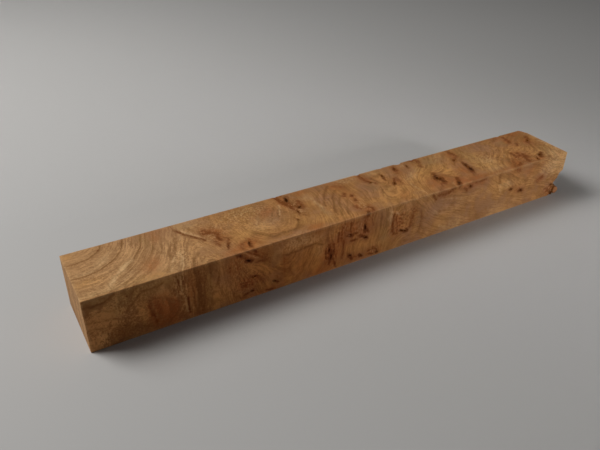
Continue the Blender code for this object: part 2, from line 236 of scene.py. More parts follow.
# Stains, by the tint that they take.
STAINS = {
    "red": ovals_on(
        top=[
            (36, 28.5, 13, 8, 0.7, 60), (45, 7.5, 10, 5, 0.5, 75), (84.5, 35, 11, 9, 0.9),
            (71.5, 15.5, 14, 8, 0.7, -40), (73.5, 24, 8, 10, 0.7), (75, 37, 12, 6, 0.6, 20),
            (106, 12, 16, 7, 0.5, 35), (118.5, 8, 20, 6, 0.9, -76), (126, 14, 7, 8, 0.5),
            (122, 37.5, 11, 6, 0.9, 10), (132, 3.5, 7, 5, 0.6), (154, 7, 9, 12, 0.6),
            (155, 21, 7, 12, 0.5), (152, 31, 6, 8, 0.6), (156.5, 36.5, 9, 8, 0.7, 60),
            (173, 5, 14, 6, 0.6, -88), (183, 34, 9, 7, 0.5, 50), (189, 18, 10, 9, 0.5),
            (197, 7, 7, 10, 0.5), (206, 31, 12, 8, 0.6, 45), (215, 31, 13, 13, 0.6),
            (223, 36, 9, 10, 0.8), (232, 37.5, 22, 7, 0.9), (234, 27, 8, 13, 0.7),
            (252, 38.5, 24, 4, 0.5), (240, 8, 14, 7, 0.5, -65), (270, 36, 17, 9, 0.7, 30),
            (280, 30, 12, 13, 0.9), (289, 37, 9, 7, 0.5, 40), (288, 9, 8, 14, 0.6), (298, 3, 8, 4, 0.7),
            (300, 16, 10, 9, 0.7, 50),
        ],
        front=[
            (37, 20.5, 15, 19, 1), (33.6, 14.6, 7, 8, 0.8), (38, 25, 16, 10, 0.8), (42, 18, 4, 5, 0.7),
            (40, 28, 40, 4, 0.4), (50.5, 13, 5, 26, 0.4), (74, 8, 9, 12, 0.5), (82, 3, 14, 6, 0.8, -15),
            (80, 19.6, 12, 7, 0.9), (88, 28.5, 26, 3, 0.6), (102, 16, 5, 14, 0.3), (130, 19, 11, 16, 0.9),
            (111, 20, 5, 8, 0.4), (137, 9, 6, 18, 0.8), (143, 7, 8, 13, 0.8), (152, 8, 8, 14, 0.8),
            (146, 26.5, 12, 5, 0.7, -15), (159, 26.5, 12, 6, 0.7, -10), (173.5, 13, 8, 16, 0.7),
            (181, 12, 10, 14, 0.5), (209, 2, 16, 5, 0.5), (229, 2, 18, 5, 0.6),
            (270, 17, 13, 6, 0.5, -15), (279, 5, 14, 6, 0.5, -12), (290, 13.6, 9, 5, 0.8, -10),
            (301, 25.5, 9, 8, 0.9, -30), (304, 25.5, 9, 7, 0.8, -20),
        ],
    ),
    "brown": ovals_on(
        top=[
            (71, 16, 12, 7, 0.8, -35), (73.6, 23, 7, 9, 0.6), (157, 37, 6, 6, 0.6),
            (125.4, 14.6, 5.5, 9, 0.9), (122.6, 11.6, 9, 3.4, 0.6, -78), (180, 0, 250, 17, 0.4),
            (84.4, 34.8, 9, 7, 0.8), (104, 13, 14, 8, 0.4, 20), (170.6, 17, 8, 8, 0.5, -20),
            (104, 35, 18, 3, 0.5), (94, 31, 11, 3, 0.5, -52), (115, 32, 6, 4, 0.5, 50),
            (155.6, 9, 12, 13, 0.9), (121.4, 20, 6, 10, 0.7), (213, 27.5, 6, 11, 0.8),
            (302, 13, 6, 8, 0.6, 30), (112, 19, 22, 16, 0.3), (129, 6, 14, 12, 0.3),
            (176, 9, 14, 10, 0.3, 30), (157, 36, 6, 7, 0.5), (240, 9, 9, 16, 0.5), (268, 34, 12, 12, 0.6),
            (280, 31, 10, 13, 0.8), (273, 2, 8, 4, 0.6), (300, 8, 18, 15, 0.7),
        ],
        front=[
            (15.5, 24, 11, 9, 0.75), (23, 25, 12, 5, 0.2, -15), (55, 14, 8, 34, 1), (90, 6, 9, 8, 0.9),
            (103, 17, 5, 14, 0.4), (86, 19, 12, 8, 0.5), (130, 20, 8, 14, 1), (137.4, 13, 4, 24, 0.7),
            (161, 10, 13, 18, 0.5), (173, 14, 7, 14, 0.5), (186, 11, 6, 16, 0.8), (168, 26, 20, 7, 0.5),
            (96.5, 24, 5, 4.5, 0.7, -30), (304, 24.5, 6, 6, 0.6), (192, 16, 5, 16, 0.5),
            (209, 2, 18, 4, 0.9), (266, 1.5, 9, 4, 0.6),
        ],
    ),
    "gold": ovals_on(
        top=[
            (33, 37.5, 22, 5, 0.6), (2.5, 3, 7, 6, 0.6), (6, 28, 16, 7, 0.6), (90, 16, 22, 22, 0.4),
            (86, 26, 12, 7, 0.7, 10), (128, 32, 16, 12, 0.8), (172, 34, 22, 12, 0.7),
            (191, 34, 14, 12, 0.6), (214, 17, 26, 10, 0.7, 10), (226, 21, 9, 8, 0.8),
            (256, 30, 18, 12, 0.7, 30), (286, 21, 9, 9, 0.6),
        ],
        front=[
            (27, 17, 4, 16, 0.8), (65, 23, 12, 10, 0.7), (110, 18, 18, 20, 0.6), (123, 22, 8, 14, 0.5),
            (149, 19.5, 14, 6, 0.8), (166, 24, 8, 8, 0.7), (178.5, 15, 4, 4, 0.9),
            (244, 10, 22, 5, 0.6, -4), (260, 11.5, 10, 5, 0.6), (226, 10.5, 8, 4, 0.5),
        ],
    ),
    "mauve": ovals_on(
        top=[
            (106, 15, 14, 16, 0.8, 30), (160, 0, 170, 14, 0.3), (143, 20, 12, 28, 0.6, 25),
            (169, 16.5, 9, 14, 1, -20), (172, 15, 12, 13, 0.6, -20), (191, 10, 8, 16, 0.6),
            (207, 37, 14, 8, 0.7, 40), (230, 34.5, 12, 8, 0.5, 10), (266, 10, 14, 16, 0.9, 30),
            (283, 5, 10, 8, 0.5), (297, 17.5, 10, 7, 0.6),
        ],
        front=[
            (17, 15, 7, 4, 0.7), (68, 14, 8, 10, 0.5), (112, 5, 26, 8, 0.5), (55.5, 14, 4, 22, 0.5),
            (162, 6, 12, 12, 0.7), (184, 5, 12, 6, 0.6), (196, 16, 12, 20, 0.5), (212, 10, 34, 12, 0.7),
            (234, 5, 16, 8, 0.7), (250, 24, 60, 10, 0.4), (292, 13, 14, 6, 0.6),
        ],
    ),
    "olive": ovals_on(
        top=[
            (61, 4, 12, 7, 0.5), (39, 6, 4, 14, 0.6, 15), (122.7, 11, 8, 2.4, 1, -75),
            (134, 22, 3, 24, 0.6), (96, 6, 24, 14, 0.5), (172, 17.5, 8, 6, 1, 60),
            (178, 24, 16, 5, 0.4, 35), (208.5, 12.5, 7, 5, 0.7), (222, 8, 14, 14, 0.7),
            (250, 16, 16, 30, 0.6), (283, 10, 6, 6, 0.7), (302, 29, 14, 10, 0.5),
        ],
        front=[
            (7, 1.6, 15, 4, 1), (22, 4, 46, 10, 0.6), (16, 8, 9, 14, 1), (32, 1.8, 16, 3, 0.9),
            (59.5, 14, 5, 24, 0.7), (97, 9, 9, 14, 0.5), (122, 14, 8, 12, 0.5), (165.5, 16, 7, 20, 0.6),
            (191, 14, 3, 16, 0.5), (96, 24, 5, 4, 0.5),
        ],
    ),
    "pale": ovals_on(
        top=[
            (8, 20, 11, 3, 0.6, 5), (17.5, 13.5, 12, 4, 0.8, 42), (25, 24, 12, 3, 1, 43),
            (17.5, 31, 9, 2.6, 0.9, 50), (24, 31, 12, 2.6, 0.6, 44), (50, 32, 4, 14, 0.6, -22),
            (100, 22, 20, 12, 0.4), (131, 9, 6, 8, 0.6, -40), (134.5, 18, 2.4, 24, 0.5),
            (114.5, 10.5, 5, 2, 0.7, 55), (122, 18.8, 1.6, 1.5, 0.9), (166, 3, 14, 5, 0.5),
            (182, 3, 12, 5, 0.5), (204.5, 3.8, 2.4, 3, 1), (200, 17, 12, 5, 0.6, 35),
            (216.5, 36, 4, 2, 0.8, 25), (232, 4, 14, 7, 0.5, 20), (256, 24, 9, 9, 0.6, 40),
            (289.5, 35.2, 2.6, 2, 1, 30), (309, 24, 3, 34, 0.7), (302, 36, 14, 9, 0.5),
            (252, 34, 16, 9, 0.4),
        ],
        front=[
            (37, 7.5, 4, 5, 0.9), (7, 2, 15, 4, 0.5), (16, 7, 8, 12, 0.6), (32, 1.8, 16, 3, 0.6),
            (8, 7, 14, 5, 0.4), (27, 18, 4, 12, 0.4), (7, 24, 6, 10, 0.9), (112, 5, 26, 7, 0.9),
            (114, 5.5, 3, 2, 0.9), (124, 13, 8, 8, 0.6, -30), (169, 6, 3, 12, 0.7),
            (203, 14, 6, 3, 0.6, -20), (259, 10, 10, 4, 0.5), (300, 6, 18, 14, 0.8), (308.5, 8, 4, 18, 1),
        ],
    ),
}

# Strokes, by what they are. A smear is dark wood that runs out of a bud.
STROKES = {
    "vein": strokes_on(
        top=[
            (0.9, 0.5, (14.5, 33), (14.2, 39.5)), (0.8, 0.45, (53.4, 12), (51.6, 18), (49.4, 25)),
            (0.8, 0.5, (47.2, 24), (44.6, 30), (41.2, 36.5)),
            (0.8, 0.5, (50.6, 27), (47.8, 34), (46, 40)), (1, 0.6, (51.8, 32), (49.6, 37), (48.4, 40)),
            (0.8, 0.4, (49, 3), (46.5, 12), (43.6, 22)), (0.8, 0.4, (52.6, 2), (50.2, 9), (48, 16)),
            (0.8, 0.5, (57.6, 27), (55, 33), (53, 39)), (0.8, 0.5, (55.2, 26), (52.8, 32)),
            (0.8, 0.4, (60.4, 24), (58.6, 32), (58.4, 39)),
            (1.8, 0.6, (90.6, 26.6), (93, 30), (96.4, 33.6), (98.4, 35.2), (104, 34.4), (110, 34.6)),
            (2, 0.6, (110, 34.6), (113, 33), (115, 31), (116.4, 28)),
            (1.8, 0.75, (121.5, 8.6), (122, 12), (122.4, 16)), (1.2, 0.6, (123.4, 8.8), (123.6, 13)),
            (0.9, 0.5, (111, 10), (107, 17), (104, 22)),
            (0.9, 0.6, (114.2, 10.4), (111.2, 15), (109.6, 20)),
            (0.9, 0.5, (101.4, 12.4), (98, 17), (96.4, 22)),
            (1.5, 0.7, (149.6, 4), (144.4, 9.6), (140.4, 15), (137.2, 22)),
            (1.5, 0.7, (150.6, 10), (145.6, 16), (141.8, 23), (138.4, 30)),
            (1.3, 0.6, (150.4, 16.6), (146.4, 22), (143, 29), (140.4, 34)),
            (1.2, 0.5, (151, 22), (147.4, 28), (144, 35)),
            (1.2, 0.5, (143.4, 5.6), (138.6, 11), (136, 17)),
        ],
        front=[
            (1.1, 0.8, (0, 4), (8, 4.3), (12, 3.2), (14, 1.6), (14.6, 0)),
            (1.3, 0.65, (19, 14.4), (20.6, 11), (23, 8.5), (25.2, 6), (27.6, 4.4)),
            (1.3, 0.55, (27.6, 4.4), (31, 4), (35, 4.7), (37, 3.4)),
            (1.1, 0.5, (22, 4.6), (24, 2), (28, 0.8), (33, 0.8)),
            (1.1, 0.5, (0, 13), (7, 13.4), (14, 15.4), (24, 18.4)), (1, 0.4, (1, 8), (9, 8.6), (14, 11)),
            (1.1, 0.4, (1, 17), (8, 18), (14, 18.6)),
            (1.4, 0.5, (10.4, 29.5), (10.6, 24), (12, 20.6), (16, 20), (20, 22), (26, 24.6), (32, 27.6)),
            (1.4, 0.5, (51, 1), (51.4, 12), (52.2, 28)), (3.4, 0.6, (54.4, 2), (54.8, 13), (55.4, 28)),
            (1.2, 0.6, (57.8, 1), (57.6, 28)), (1, 0.6, (60.8, 1), (60.8, 17)),
            (1.4, 0.6, (65.4, 7), (65, 12), (62.8, 16)), (1.2, 0.4, (110, 12), (109.6, 22)),
            (1.2, 0.4, (113, 12), (113.4, 26)), (1.2, 0.4, (117, 14), (117.4, 27)),
            (1.2, 0.7, (103, 9.6), (110, 9.6), (116, 8.7), (121, 9.2), (125, 11)),
            (1.4, 0.4, (162, 3), (162.4, 12)), (1.4, 0.4, (159, 8), (160, 16)),
            (0.9, 0.4, (206, 6.6), (214, 9), (224, 12)), (0.9, 0.4, (204, 4.6), (213, 5.6), (222, 7.6)),
        ],
    ),
    "pale_vein": strokes_on(
        top=[
            (1.8, 0.55, (29, 20.4), (25, 23.6), (21.5, 27), (18.5, 30), (16, 33), (13.6, 37)),
            (1.1, 0.7, (58.8, 7.6), (61.8, 12.4), (65.6, 17.4)), (1, 0.9, (51, 25), (51.3, 30.4)),
            (1, 0.8, (51.4, 31), (49.6, 35), (48, 39.6)), (1, 0.7, (47.6, 28), (44.4, 34), (42.4, 38)),
            (1, 0.6, (57.2, 10.6), (55.6, 15)), (0.9, 0.6, (62.2, 21.6), (62.2, 26.6)),
            (1, 0.5, (100, 13.6), (97.4, 18), (95.6, 21.6)),
            (1, 0.7, (115.6, 9.4), (112.6, 13.4), (110.8, 18)),
            (1.2, 0.5, (194, 24), (194.6, 31), (195.4, 38)), (1.1, 0.5, (201.6, 20), (204.4, 17.6)),
            (1.2, 0.5, (268.4, 25.6), (271.6, 23.2)), (1.2, 0.7, (310.6, 7), (310.6, 40)),
        ],
        front=[
            (1.2, 0.8, (310.7, 0), (310.7, 15)), (0.9, 1, (47, 15), (47.4, 20), (47.8, 25)),
            (0.8, 0.8, (45.6, 3), (46, 8), (45.2, 13)), (0.8, 0.7, (43.6, 3), (43.2, 8), (44.2, 14)),
            (1, 0.5, (52.9, 14), (53.4, 24)), (0.9, 0.6, (78.8, 0.8), (82.6, 3.8), (86.4, 5.8)),
            (1, 0.6, (169.4, 3), (169.2, 12)), (1, 0.6, (173, 5), (175, 7)),
            (1, 0.4, (206, 5.6), (213, 7.4), (222, 9.8)), (1.2, 0.5, (206.6, 24.4), (211.6, 26.8)),
            (1.2, 0.5, (252.6, 8.6), (254.4, 14)),
        ],
    ),
    "smears": strokes_on(
        top=[
            (1.5, 0.8, (55.6, 5.4), (57.8, 9.6), (61, 14.4), (64, 18), (66.4, 21.4)),
            (1, 0.4, (55.4, 0), (55.4, 5)), (2.2, 0.6, (66.6, 13.6), (69.4, 12.2), (70.6, 14.6)),
            (2.6, 0.75, (67, 15.6), (70.4, 16.4), (73.4, 18.4)),
            (2.2, 0.85, (73.8, 19.4), (72.6, 22.4), (73.6, 25)), (2.2, 0.65, (75.6, 24.2), (78.6, 26)),
            (2.2, 0.55, (70.4, 25), (70.8, 29)), (1.2, 0.8, (77, 26.6), (75.4, 30), (73.6, 33.4)),
            (1.6, 0.8, (84.9, 33), (84.4, 37.4)),
            (2.4, 0.45, (80, 37), (81.2, 33), (84.8, 31), (88, 32.6), (89.4, 36)),
            (2.4, 1, (116.8, 0), (117.4, 5), (118.8, 10), (120, 15)),
            (1.6, 0.6, (119.8, 14.6), (120.6, 18), (121, 22)), (2, 0.6, (120.4, 0), (121.4, 3)),
            (0.8, 0.6, (121.6, 9), (121.8, 13.6)),
            (1.8, 0.8, (123.8, 13), (122.8, 15.4), (124.2, 17.2), (126.2, 15)),
            (3, 0.6, (126.6, 10.6), (126, 14), (125.2, 17.6)), (1.6, 0.5, (122.4, 23.8), (123, 25.6)),
            (1.6, 0.5, (116.4, 24), (117.2, 28.4)), (2.2, 0.8, (152, 18.2), (153.4, 15.8)),
            (2.2, 0.8, (155.6, 19.8), (156.8, 19.2)), (2.2, 0.7, (155.7, 23.6), (155, 25.2)),
            (2.6, 0.5, (151.2, 30), (152.2, 33.4)),
            (1.5, 0.8, (157.2, 34.2), (158.8, 36), (158, 38.6), (156.4, 39.4)),
            (2, 0.8, (154.4, 38), (153.2, 40)), (3, 0.4, (153.4, 5.6), (157, 8.4)),
            (2.8, 0.75, (172.8, 0), (173.2, 5), (173.1, 9.6)), (2, 0.9, (173.2, 9.6), (174.2, 12.2)),
            (1.2, 0.7, (174.4, 12), (176.8, 13.6), (177, 15.6)), (1.8, 0.4, (178, 7.4), (178, 8.8)),
            (1.8, 0.85, (185.6, 7.2), (184.9, 10.5), (183.9, 14)),
            (1.6, 0.85, (186, 20.8), (187.4, 18), (189.6, 15)), (1.8, 0.5, (191, 14.2), (190.8, 21.6)),
            (1.8, 0.4, (184.6, 28), (184.8, 30.4)), (2.6, 0.8, (197.4, 3.2), (197, 6.8)),
            (1.6, 0.5, (197, 6.8), (195, 11)), (1.8, 0.7, (206.8, 4.4), (205.6, 8)),
            (3.2, 0.8, (212.6, 0.4), (215.6, 0.8)), (2.8, 0.75, (216.6, 3.6), (215.6, 5.6)),
            (2.4, 0.6, (214.2, 8.6), (213.2, 10.4)),
            (2.8, 0.85, (214.6, 21), (212.8, 24.4), (212.2, 27.6)),
            (3.6, 0.9, (212.2, 27.4), (214.4, 28.2)),
            (2.4, 0.8, (213.4, 29), (214.4, 31.6), (212.6, 33.4)),
            (2, 0.5, (210.6, 33.4), (208.4, 36.4), (204.6, 39.6)),
            (2.2, 1, (223.4, 32.4), (221.2, 36.4), (219.2, 39.6)),
            (2.6, 1, (239.8, 21.2), (239.2, 24.6), (238.2, 28.8), (237.2, 30.6)),
            (1.6, 0.5, (236.6, 31.8), (234.4, 35)), (2.8, 0.75, (242.2, 2), (242, 4.6), (242.8, 7.2)),
            (1.8, 0.7, (243.2, 9.6), (240.4, 11.4)), (2.4, 0.75, (238.6, 12.8), (236.8, 14.4)),
            (1.6, 0.4, (236.2, 15.4), (233.4, 18.8)), (2.6, 0.75, (276.6, 23.8), (276.2, 29)),
            (2.4, 0.7, (280.6, 25.4), (279.6, 29)), (2.8, 0.8, (282.8, 28.2), (281.2, 30.4), (282.8, 32)),
            (2.8, 0.8, (280.4, 32.8), (279.2, 36.6)), (1.6, 0.5, (277.2, 29), (275.4, 32.4)),
            (2.4, 0.5, (272.4, 30), (268.4, 35), (265, 39)),
            (2.4, 0.65, (273, 36), (268.8, 38.6), (265.6, 40)),
            (2.2, 0.95, (295, 31.8), (292.6, 34.2), (290.6, 36)), (1.6, 0.75, (287.6, 35.4), (286, 38.8)),
            (1.8, 0.55, (297, 37.4), (294, 40)), (2.6, 0.7, (289.8, 4), (289.2, 8), (288.4, 11.6)),
            (2.2, 0.6, (290.8, 15), (289.4, 16.8)),
            (2.4, 0.75, (305, 10.2), (301.4, 14.6), (299.2, 17.4)), (2.2, 0.4, (298.4, 20), (297, 26)),
            (2.4, 0.45, (284.4, 2), (279.6, 5)), (3, 0.3, (296.6, 2), (298.6, 5)),
        ],
        front=[
            (0.7, 0.7, (44.6, 4), (45, 8.4)), (0.7, 0.7, (46.8, 6), (46.6, 12)),
            (0.7, 0.6, (43.8, 9), (44.4, 14)), (0.7, 0.6, (47.8, 2.6), (47.8, 7.4)),
            (1.1, 0.8, (48.8, 16.4), (48.8, 21), (49, 26)),
            (1.6, 0.55, (29.8, 11), (30.4, 16), (31.2, 20), (32.2, 26)),
            (4, 0.3, (32.6, 14), (33.4, 19), (35.4, 25)),
            (1, 0.4, (29.4, 11), (34, 10.8), (39, 13), (42.4, 16)), (2, 0.3, (42, 16.6), (42.2, 20)),
            (1.4, 0.3, (38, 22), (39.6, 29)), (1.2, 0.5, (71, 6.4), (72, 10.4)),
            (1, 0.5, (74, 4), (76.8, 10)), (1.4, 0.7, (74.8, 0.2), (77.4, 2), (79.8, 4.2)),
            (1.6, 0.6, (84, 0.6), (86.2, 2.4)), (1.8, 0.9, (80.4, 5.2), (82.8, 7.2)),
            (1.4, 0.55, (85.8, 8.8), (90.6, 9)), (4.6, 0.3, (90, 3), (91, 8.6)),
            (1.4, 0.75, (82.4, 16.4), (85.6, 17.2)), (2.8, 0.45, (86, 18), (89, 20.6)),
            (0.9, 0.75, (76, 18.4), (80.4, 19.4)), (0.9, 0.75, (77, 20.8), (83, 21.6)),
            (0.9, 0.6, (78.6, 16.6), (79.6, 22.6)), (0.9, 0.55, (76.6, 16.8), (77.6, 22.6)),
            (0.9, 0.5, (80.8, 16.4), (81.8, 20)), (0.9, 0.5, (76.4, 14.4), (79.4, 15.6)),
            (2.2, 0.6, (81, 25.6), (83.6, 25.2)), (1.4, 0.6, (77.6, 26.8), (80.4, 26)),
            (1.4, 0.5, (74, 26.4), (77.6, 28.4)), (1.6, 0.45, (94.8, 23.6), (96.8, 24.8)),
            (1.8, 0.4, (97, 21.4), (99.6, 24.6)), (1.2, 0.7, (90.6, 28.2), (95.6, 28.9)),
            (1.6, 0.35, (101.4, 11.4), (101.8, 20)), (1.6, 0.4, (104.6, 19.4), (106.8, 24.4)),
            (0.9, 0.8, (127.2, 13.4), (126.6, 19), (127.8, 22)), (0.9, 0.9, (128.6, 12.6), (128.4, 17.4)),
            (1.2, 1, (130.2, 16), (130, 22.6)), (0.8, 0.8, (131.6, 12.8), (132.2, 20)),
            (0.8, 0.6, (133.2, 16.4), (133.4, 22)), (0.9, 0.8, (128.4, 20), (129.6, 25)),
            (1, 0.8, (131.8, 22.4), (134, 28.4)), (0.9, 0.8, (134.6, 6.4), (134.8, 12.4)),
            (1.6, 0.6, (136.6, 3.4), (136.4, 9), (137.8, 14.6)),
            (1.2, 0.7, (137.8, 14.6), (138.2, 20), (137.2, 24)), (1.2, 0.75, (142.4, 2.6), (142.2, 8)),
            (2, 0.75, (140.6, 10.2), (143.4, 10.9)), (1.4, 0.5, (144.6, 10), (147.2, 10.7)),
            (1.2, 0.7, (143.2, 14.2), (146.8, 14.9)),
            (1.8, 0.75, (148.4, 12.5), (151, 13.8), (153.8, 15.8)), (1.5, 1, (151.6, 6.4), (152, 11.2)),
            (1.4, 0.7, (153, 9.2), (154.2, 11.6)), (2.2, 0.5, (151.4, 1.6), (152.4, 5)),
            (1, 0.5, (156.2, 3), (157.4, 8.6)), (1.6, 0.85, (141.8, 23.2), (144.2, 26.8)),
            (1.2, 0.55, (144.6, 25.6), (147.8, 26.3)), (1.5, 0.85, (149.4, 26), (151.2, 26.9)),
            (1.8, 0.6, (155, 25.2), (158.6, 24.4)), (1.6, 0.8, (160.6, 25.4), (161.6, 28.2)),
            (1.2, 0.6, (155.6, 27.2), (158, 28)),
            (1.5, 0.85, (171.4, 6), (170.9, 11), (171.2, 16.4), (172.4, 19.2), (175, 19.9)),
            (0.9, 0.7, (173.4, 7.6), (174.2, 13), (174.8, 18.4)),
            (1, 0.6, (176, 7.8), (178.6, 8.4), (181.2, 9.7)),
            (1.1, 0.6, (175.8, 9.8), (178.8, 11.6), (181.4, 12.6)),
            (1.1, 0.6, (175.6, 12), (178.6, 14), (181.8, 15.4)), (1, 0.5, (176, 14.6), (179, 16.4)),
            (1.5, 1, (176.8, 17.8), (179, 19), (181.4, 20.3)), (1.4, 0.8, (181.2, 18), (182.6, 20.2)),
            (3, 0.55, (184.8, 5), (185, 10), (184.4, 17)),
            (1.6, 0.7, (185, 10.6), (184.9, 14), (183.8, 17.6)), (3, 0.4, (186.6, 3.4), (187.8, 8.4)),
            (2.6, 0.45, (190, 7), (192.4, 15), (191, 23)), (1.5, 0.75, (198.6, 1), (201, 4.8)),
            (2, 0.75, (203, 2.2), (207, 3.2), (211, 2.8), (215.4, 0.8)),
            (1.4, 0.6, (203.6, 0.5), (209.4, 1)), (2.2, 0.7, (223.2, 3.8), (224.6, 4.8)),
            (2.6, 0.65, (226.4, 2.3), (228.2, 3.4)), (2, 0.6, (229.4, 0.4), (234, 1.4), (240, 0.4)),
            (1.5, 0.6, (251.2, 1.8), (252, 4.4), (252.5, 7.2)), (1, 0.4, (249, 4), (250, 8), (252, 12)),
            (2.8, 0.7, (263.4, 14.6), (264.6, 15)), (1.2, 0.4, (266, 15.8), (270.6, 17.6)),
            (3, 0.85, (272.4, 17.8), (274.2, 18)), (2.6, 0.55, (264.6, 0.2), (268.8, 2.8)),
            (1.6, 0.45, (280, 0.6), (285, 1.6)), (3.6, 0.5, (287.6, 14.2), (291.6, 13)),
            (1.8, 0.6, (301.4, 20.8), (302.8, 22.2)), (1.8, 0.6, (299.4, 24.2), (301.2, 26.6)),
            (1.4, 0.9, (302.2, 26.4), (304.4, 28.6), (306, 29.8)), (1.2, 0.5, (300, 27.8), (302, 29)),
            (1.5, 0.65, (304.8, 23.4), (301.4, 25), (298, 27.2)),
            (1.3, 0.5, (302.6, 21.6), (299.6, 23), (296.4, 24.2)), (1.2, 0.6, (306.4, 25), (303.6, 26.2)),
            (0.9, 0.8, (129.6, 13), (129.4, 18)), (0.9, 0.8, (131, 18), (131.4, 23)),
            (1, 0.7, (80.6, 0.4), (84.2, 3), (87, 4.6)),
        ],
    ),
}

# Coarse pale and dark flecks.
FLECKS = ovals_on(
    front=[
        (7.5, 24.5, 8, 12, 1), (18, 11, 7, 10, 0.9), (45.5, 8.5, 8, 18, 1), (48.5, 21, 5, 12, 0.7),
        (75, 8, 8, 12, 0.6), (80, 20, 12, 12, 0.5), (110, 5, 22, 8, 0.7), (130, 19, 11, 18, 0.5),
        (136, 5, 14, 9, 0.5), (150, 9, 12, 14, 0.6), (158, 26, 12, 6, 0.6), (177, 10, 12, 12, 0.35),
        (302, 25.5, 10, 9, 1),
    ],
    top=[
        (94, 8, 30, 14, 0.6), (52, 28, 8, 22, 0.7), (72, 18, 14, 18, 0.6), (122, 14, 9, 22, 0.8),
        (156, 30, 9, 22, 0.6), (163, 3.5, 18, 6, 0.6), (257, 22, 12, 12, 0.8, 20), (280, 31, 16, 14, 0.7),
    ],
)

# Where the grain stands out as lines, and where it is a fine speckle. Elsewhere it is calm.
LIVELY = ovals_on(
    top=[
        (50, 22, 24, 60, 0.75), (143, 20, 16, 40, 1), (32, 10, 20, 24, 0.6), (25, 32, 16, 14, 0.3, 40),
        (108, 14, 16, 18, 0.6), (176, 18, 40, 44, 0.6), (218, 14, 44, 40, 0.6), (275, 22, 80, 50, 0.6),
    ],
    front=[
        (54, 15, 28, 50, 1), (36, 22, 20, 18, 0.5), (12, 15, 36, 36, 1), (108, 18, 26, 22, 0.8),
        (134, 14, 22, 36, 1), (162, 12, 16, 30, 0.7), (212, 12, 40, 14, 0.4), (82, 16, 40, 40, 0.7),
        (184, 14, 36, 34, 0.8), (255, 14, 90, 40, 0.25), (300, 10, 24, 26, 0.5), (8, 6, 30, 20, 0.5),
    ],
)
SPECKLED = ovals_on(
    top=[(94, 14, 46, 34, 1), (64, 6, 18, 14, 0.7), (12, 16, 40, 44, 0.45), (257, 22, 24, 24, 0.7)],
    front=[(80, 16, 26, 30, 0.8), (18, 15, 44, 36, 0.85), (112, 5, 28, 12, 0.7), (178, 12, 20, 24, 0.8)],
)

# Where single growth lines show.
LINES_SHOWN = ovals_on(
    top=[(10, 8, 52, 38, 1.8), (39, 8, 15, 27, 1.8), (27, 31, 22, 13, 1.2, 45)],
)

# The left of the front is darkened, partly as a darker heart that this wood is cut from and partly as
# painted shade, the shade that this face lies in. It lies under that face alone.
HEART_AND_PAINTED_SHADE = ovals_on(
    front=[(0, 15, 190, 90, 0.85), (110, 15, 120, 60, 0.8), (36, 19, 20, 18, 0.5), (54, 15, 12, 50, 0.6)],
)

# Where the grain turns round a bud or a knot: place, reach, and how far it is pushed.
SWIRLS = ovals_on(
    front=[
        (178.5, 12, 20, 19, -9), (130, 18, 12, 20, -4), (36, 20, 22, 22, -3), (152, 9, 10, 14, -5),
        (82, 8, 14, 12, -5), (270, 17, 20, 12, -6), (290, 13, 18, 12, -4),
    ],
    top=[
        (84.5, 35.3, 13, 13, -6), (71, 17, 13, 12, -5), (156, 36.5, 9, 9, -4), (171, 16, 16, 18, -5),
        (213, 28, 20, 20, -8), (239, 25, 10, 20, -6), (280, 31, 20, 16, -6), (301, 14, 16, 18, -5),
    ],
)


def srgb(red, green, blue):
    """A colour of 0 to 255 a channel, as the linear values that Blender mixes."""
    shares = (value / 255 for value in (red, green, blue))
    return tuple(s / 12.92 if s <= 0.04045 else ((s + 0.055) / 1.055) ** 2.4 for s in shares)


def colour(name, description, *rgb):
    return FloatVectorProperty(
        name=name, description=description, default=srgb(*rgb), subtype="COLOR", size=3, min=0.0, max=1.0
    )


def setting(name, description, value, least=0.0, unit="NONE"):
    return FloatProperty(name=name, description=description, default=value, min=least, unit=unit)


KEY_POWER = 9.6
FILL_POWER = 0.11
SKY_STRENGTH = 0.055


class BurlShape(bpy.types.PropertyGroup):
    """How finely the bar is cut and how worn it is."""

    cell: setting("Cell", "Width of the surface's facets on plain wood", 1.4 * MM, 0.5 * MM, "LENGTH")
    arris: setting("Eased arris", "Width that is taken off each sawn edge", 0.3 * MM, 0.05 * MM, "LENGTH")
    wear: setting("Arris wear", "How far handling has rubbed the sawn edges in", 0.14 * MM, unit="LENGTH")
    tear: setting("Torn relief", "Height of the fibres on the broken wood", 0.16 * MM, unit="LENGTH")


class BurlColours(bpy.types.PropertyGroup):
    """The wood's colours, with the painted shade of the front."""

    dark_tan: colour("Dark tan", "The darker streaks of plain wood", 160, 114, 70)
    pale_tan: colour("Pale tan", "The paler streaks of plain wood", 197, 152, 103)
    rosy: colour("Rosy wood", "What the wood is multiplied by past its pale left end", 236, 219, 196)
    # Partly a darker heart and partly painted shade: the shade on the left of the front face.
    heart_and_painted_shade: colour("Dark heart and painted shade", "What the wood of the front's left half is multiplied by", 246, 212, 172)
    red: colour("Red stain", "Red-brown wood round the buds", 166, 96, 47)
    brown: colour("Brown stain", "Dull brown wood between the buds", 134, 89, 44)
    gold: colour("Golden wood", "Golden patches", 200, 146, 82)
    mauve: colour("Mauve bloom", "Mauve and pinkish patches", 156, 114, 86)
    olive: colour("Greenish wood", "Greenish tan patches", 160, 130, 80)
    pale: colour("Pale wood", "The palest patches", 214, 174, 124)
    vein: colour("Growth line", "The dark growth lines", 118, 74, 30)
    smears: colour("Smear", "The dark wood that runs out of the buds", 116, 60, 18)
    pale_vein: colour("Pale vein", "The thin pale lines", 224, 184, 132)
    halo: colour("Eye rim", "The wood close round a bud eye", 115, 62, 22)
    eye: colour("Eye", "The middle of a bud eye", 52, 25, 9)
    torn: colour("Torn wood", "The broken wood in the bark void", 160, 104, 56)
    bark: colour("Bark", "The dark remains in the bark void", 84, 52, 28)


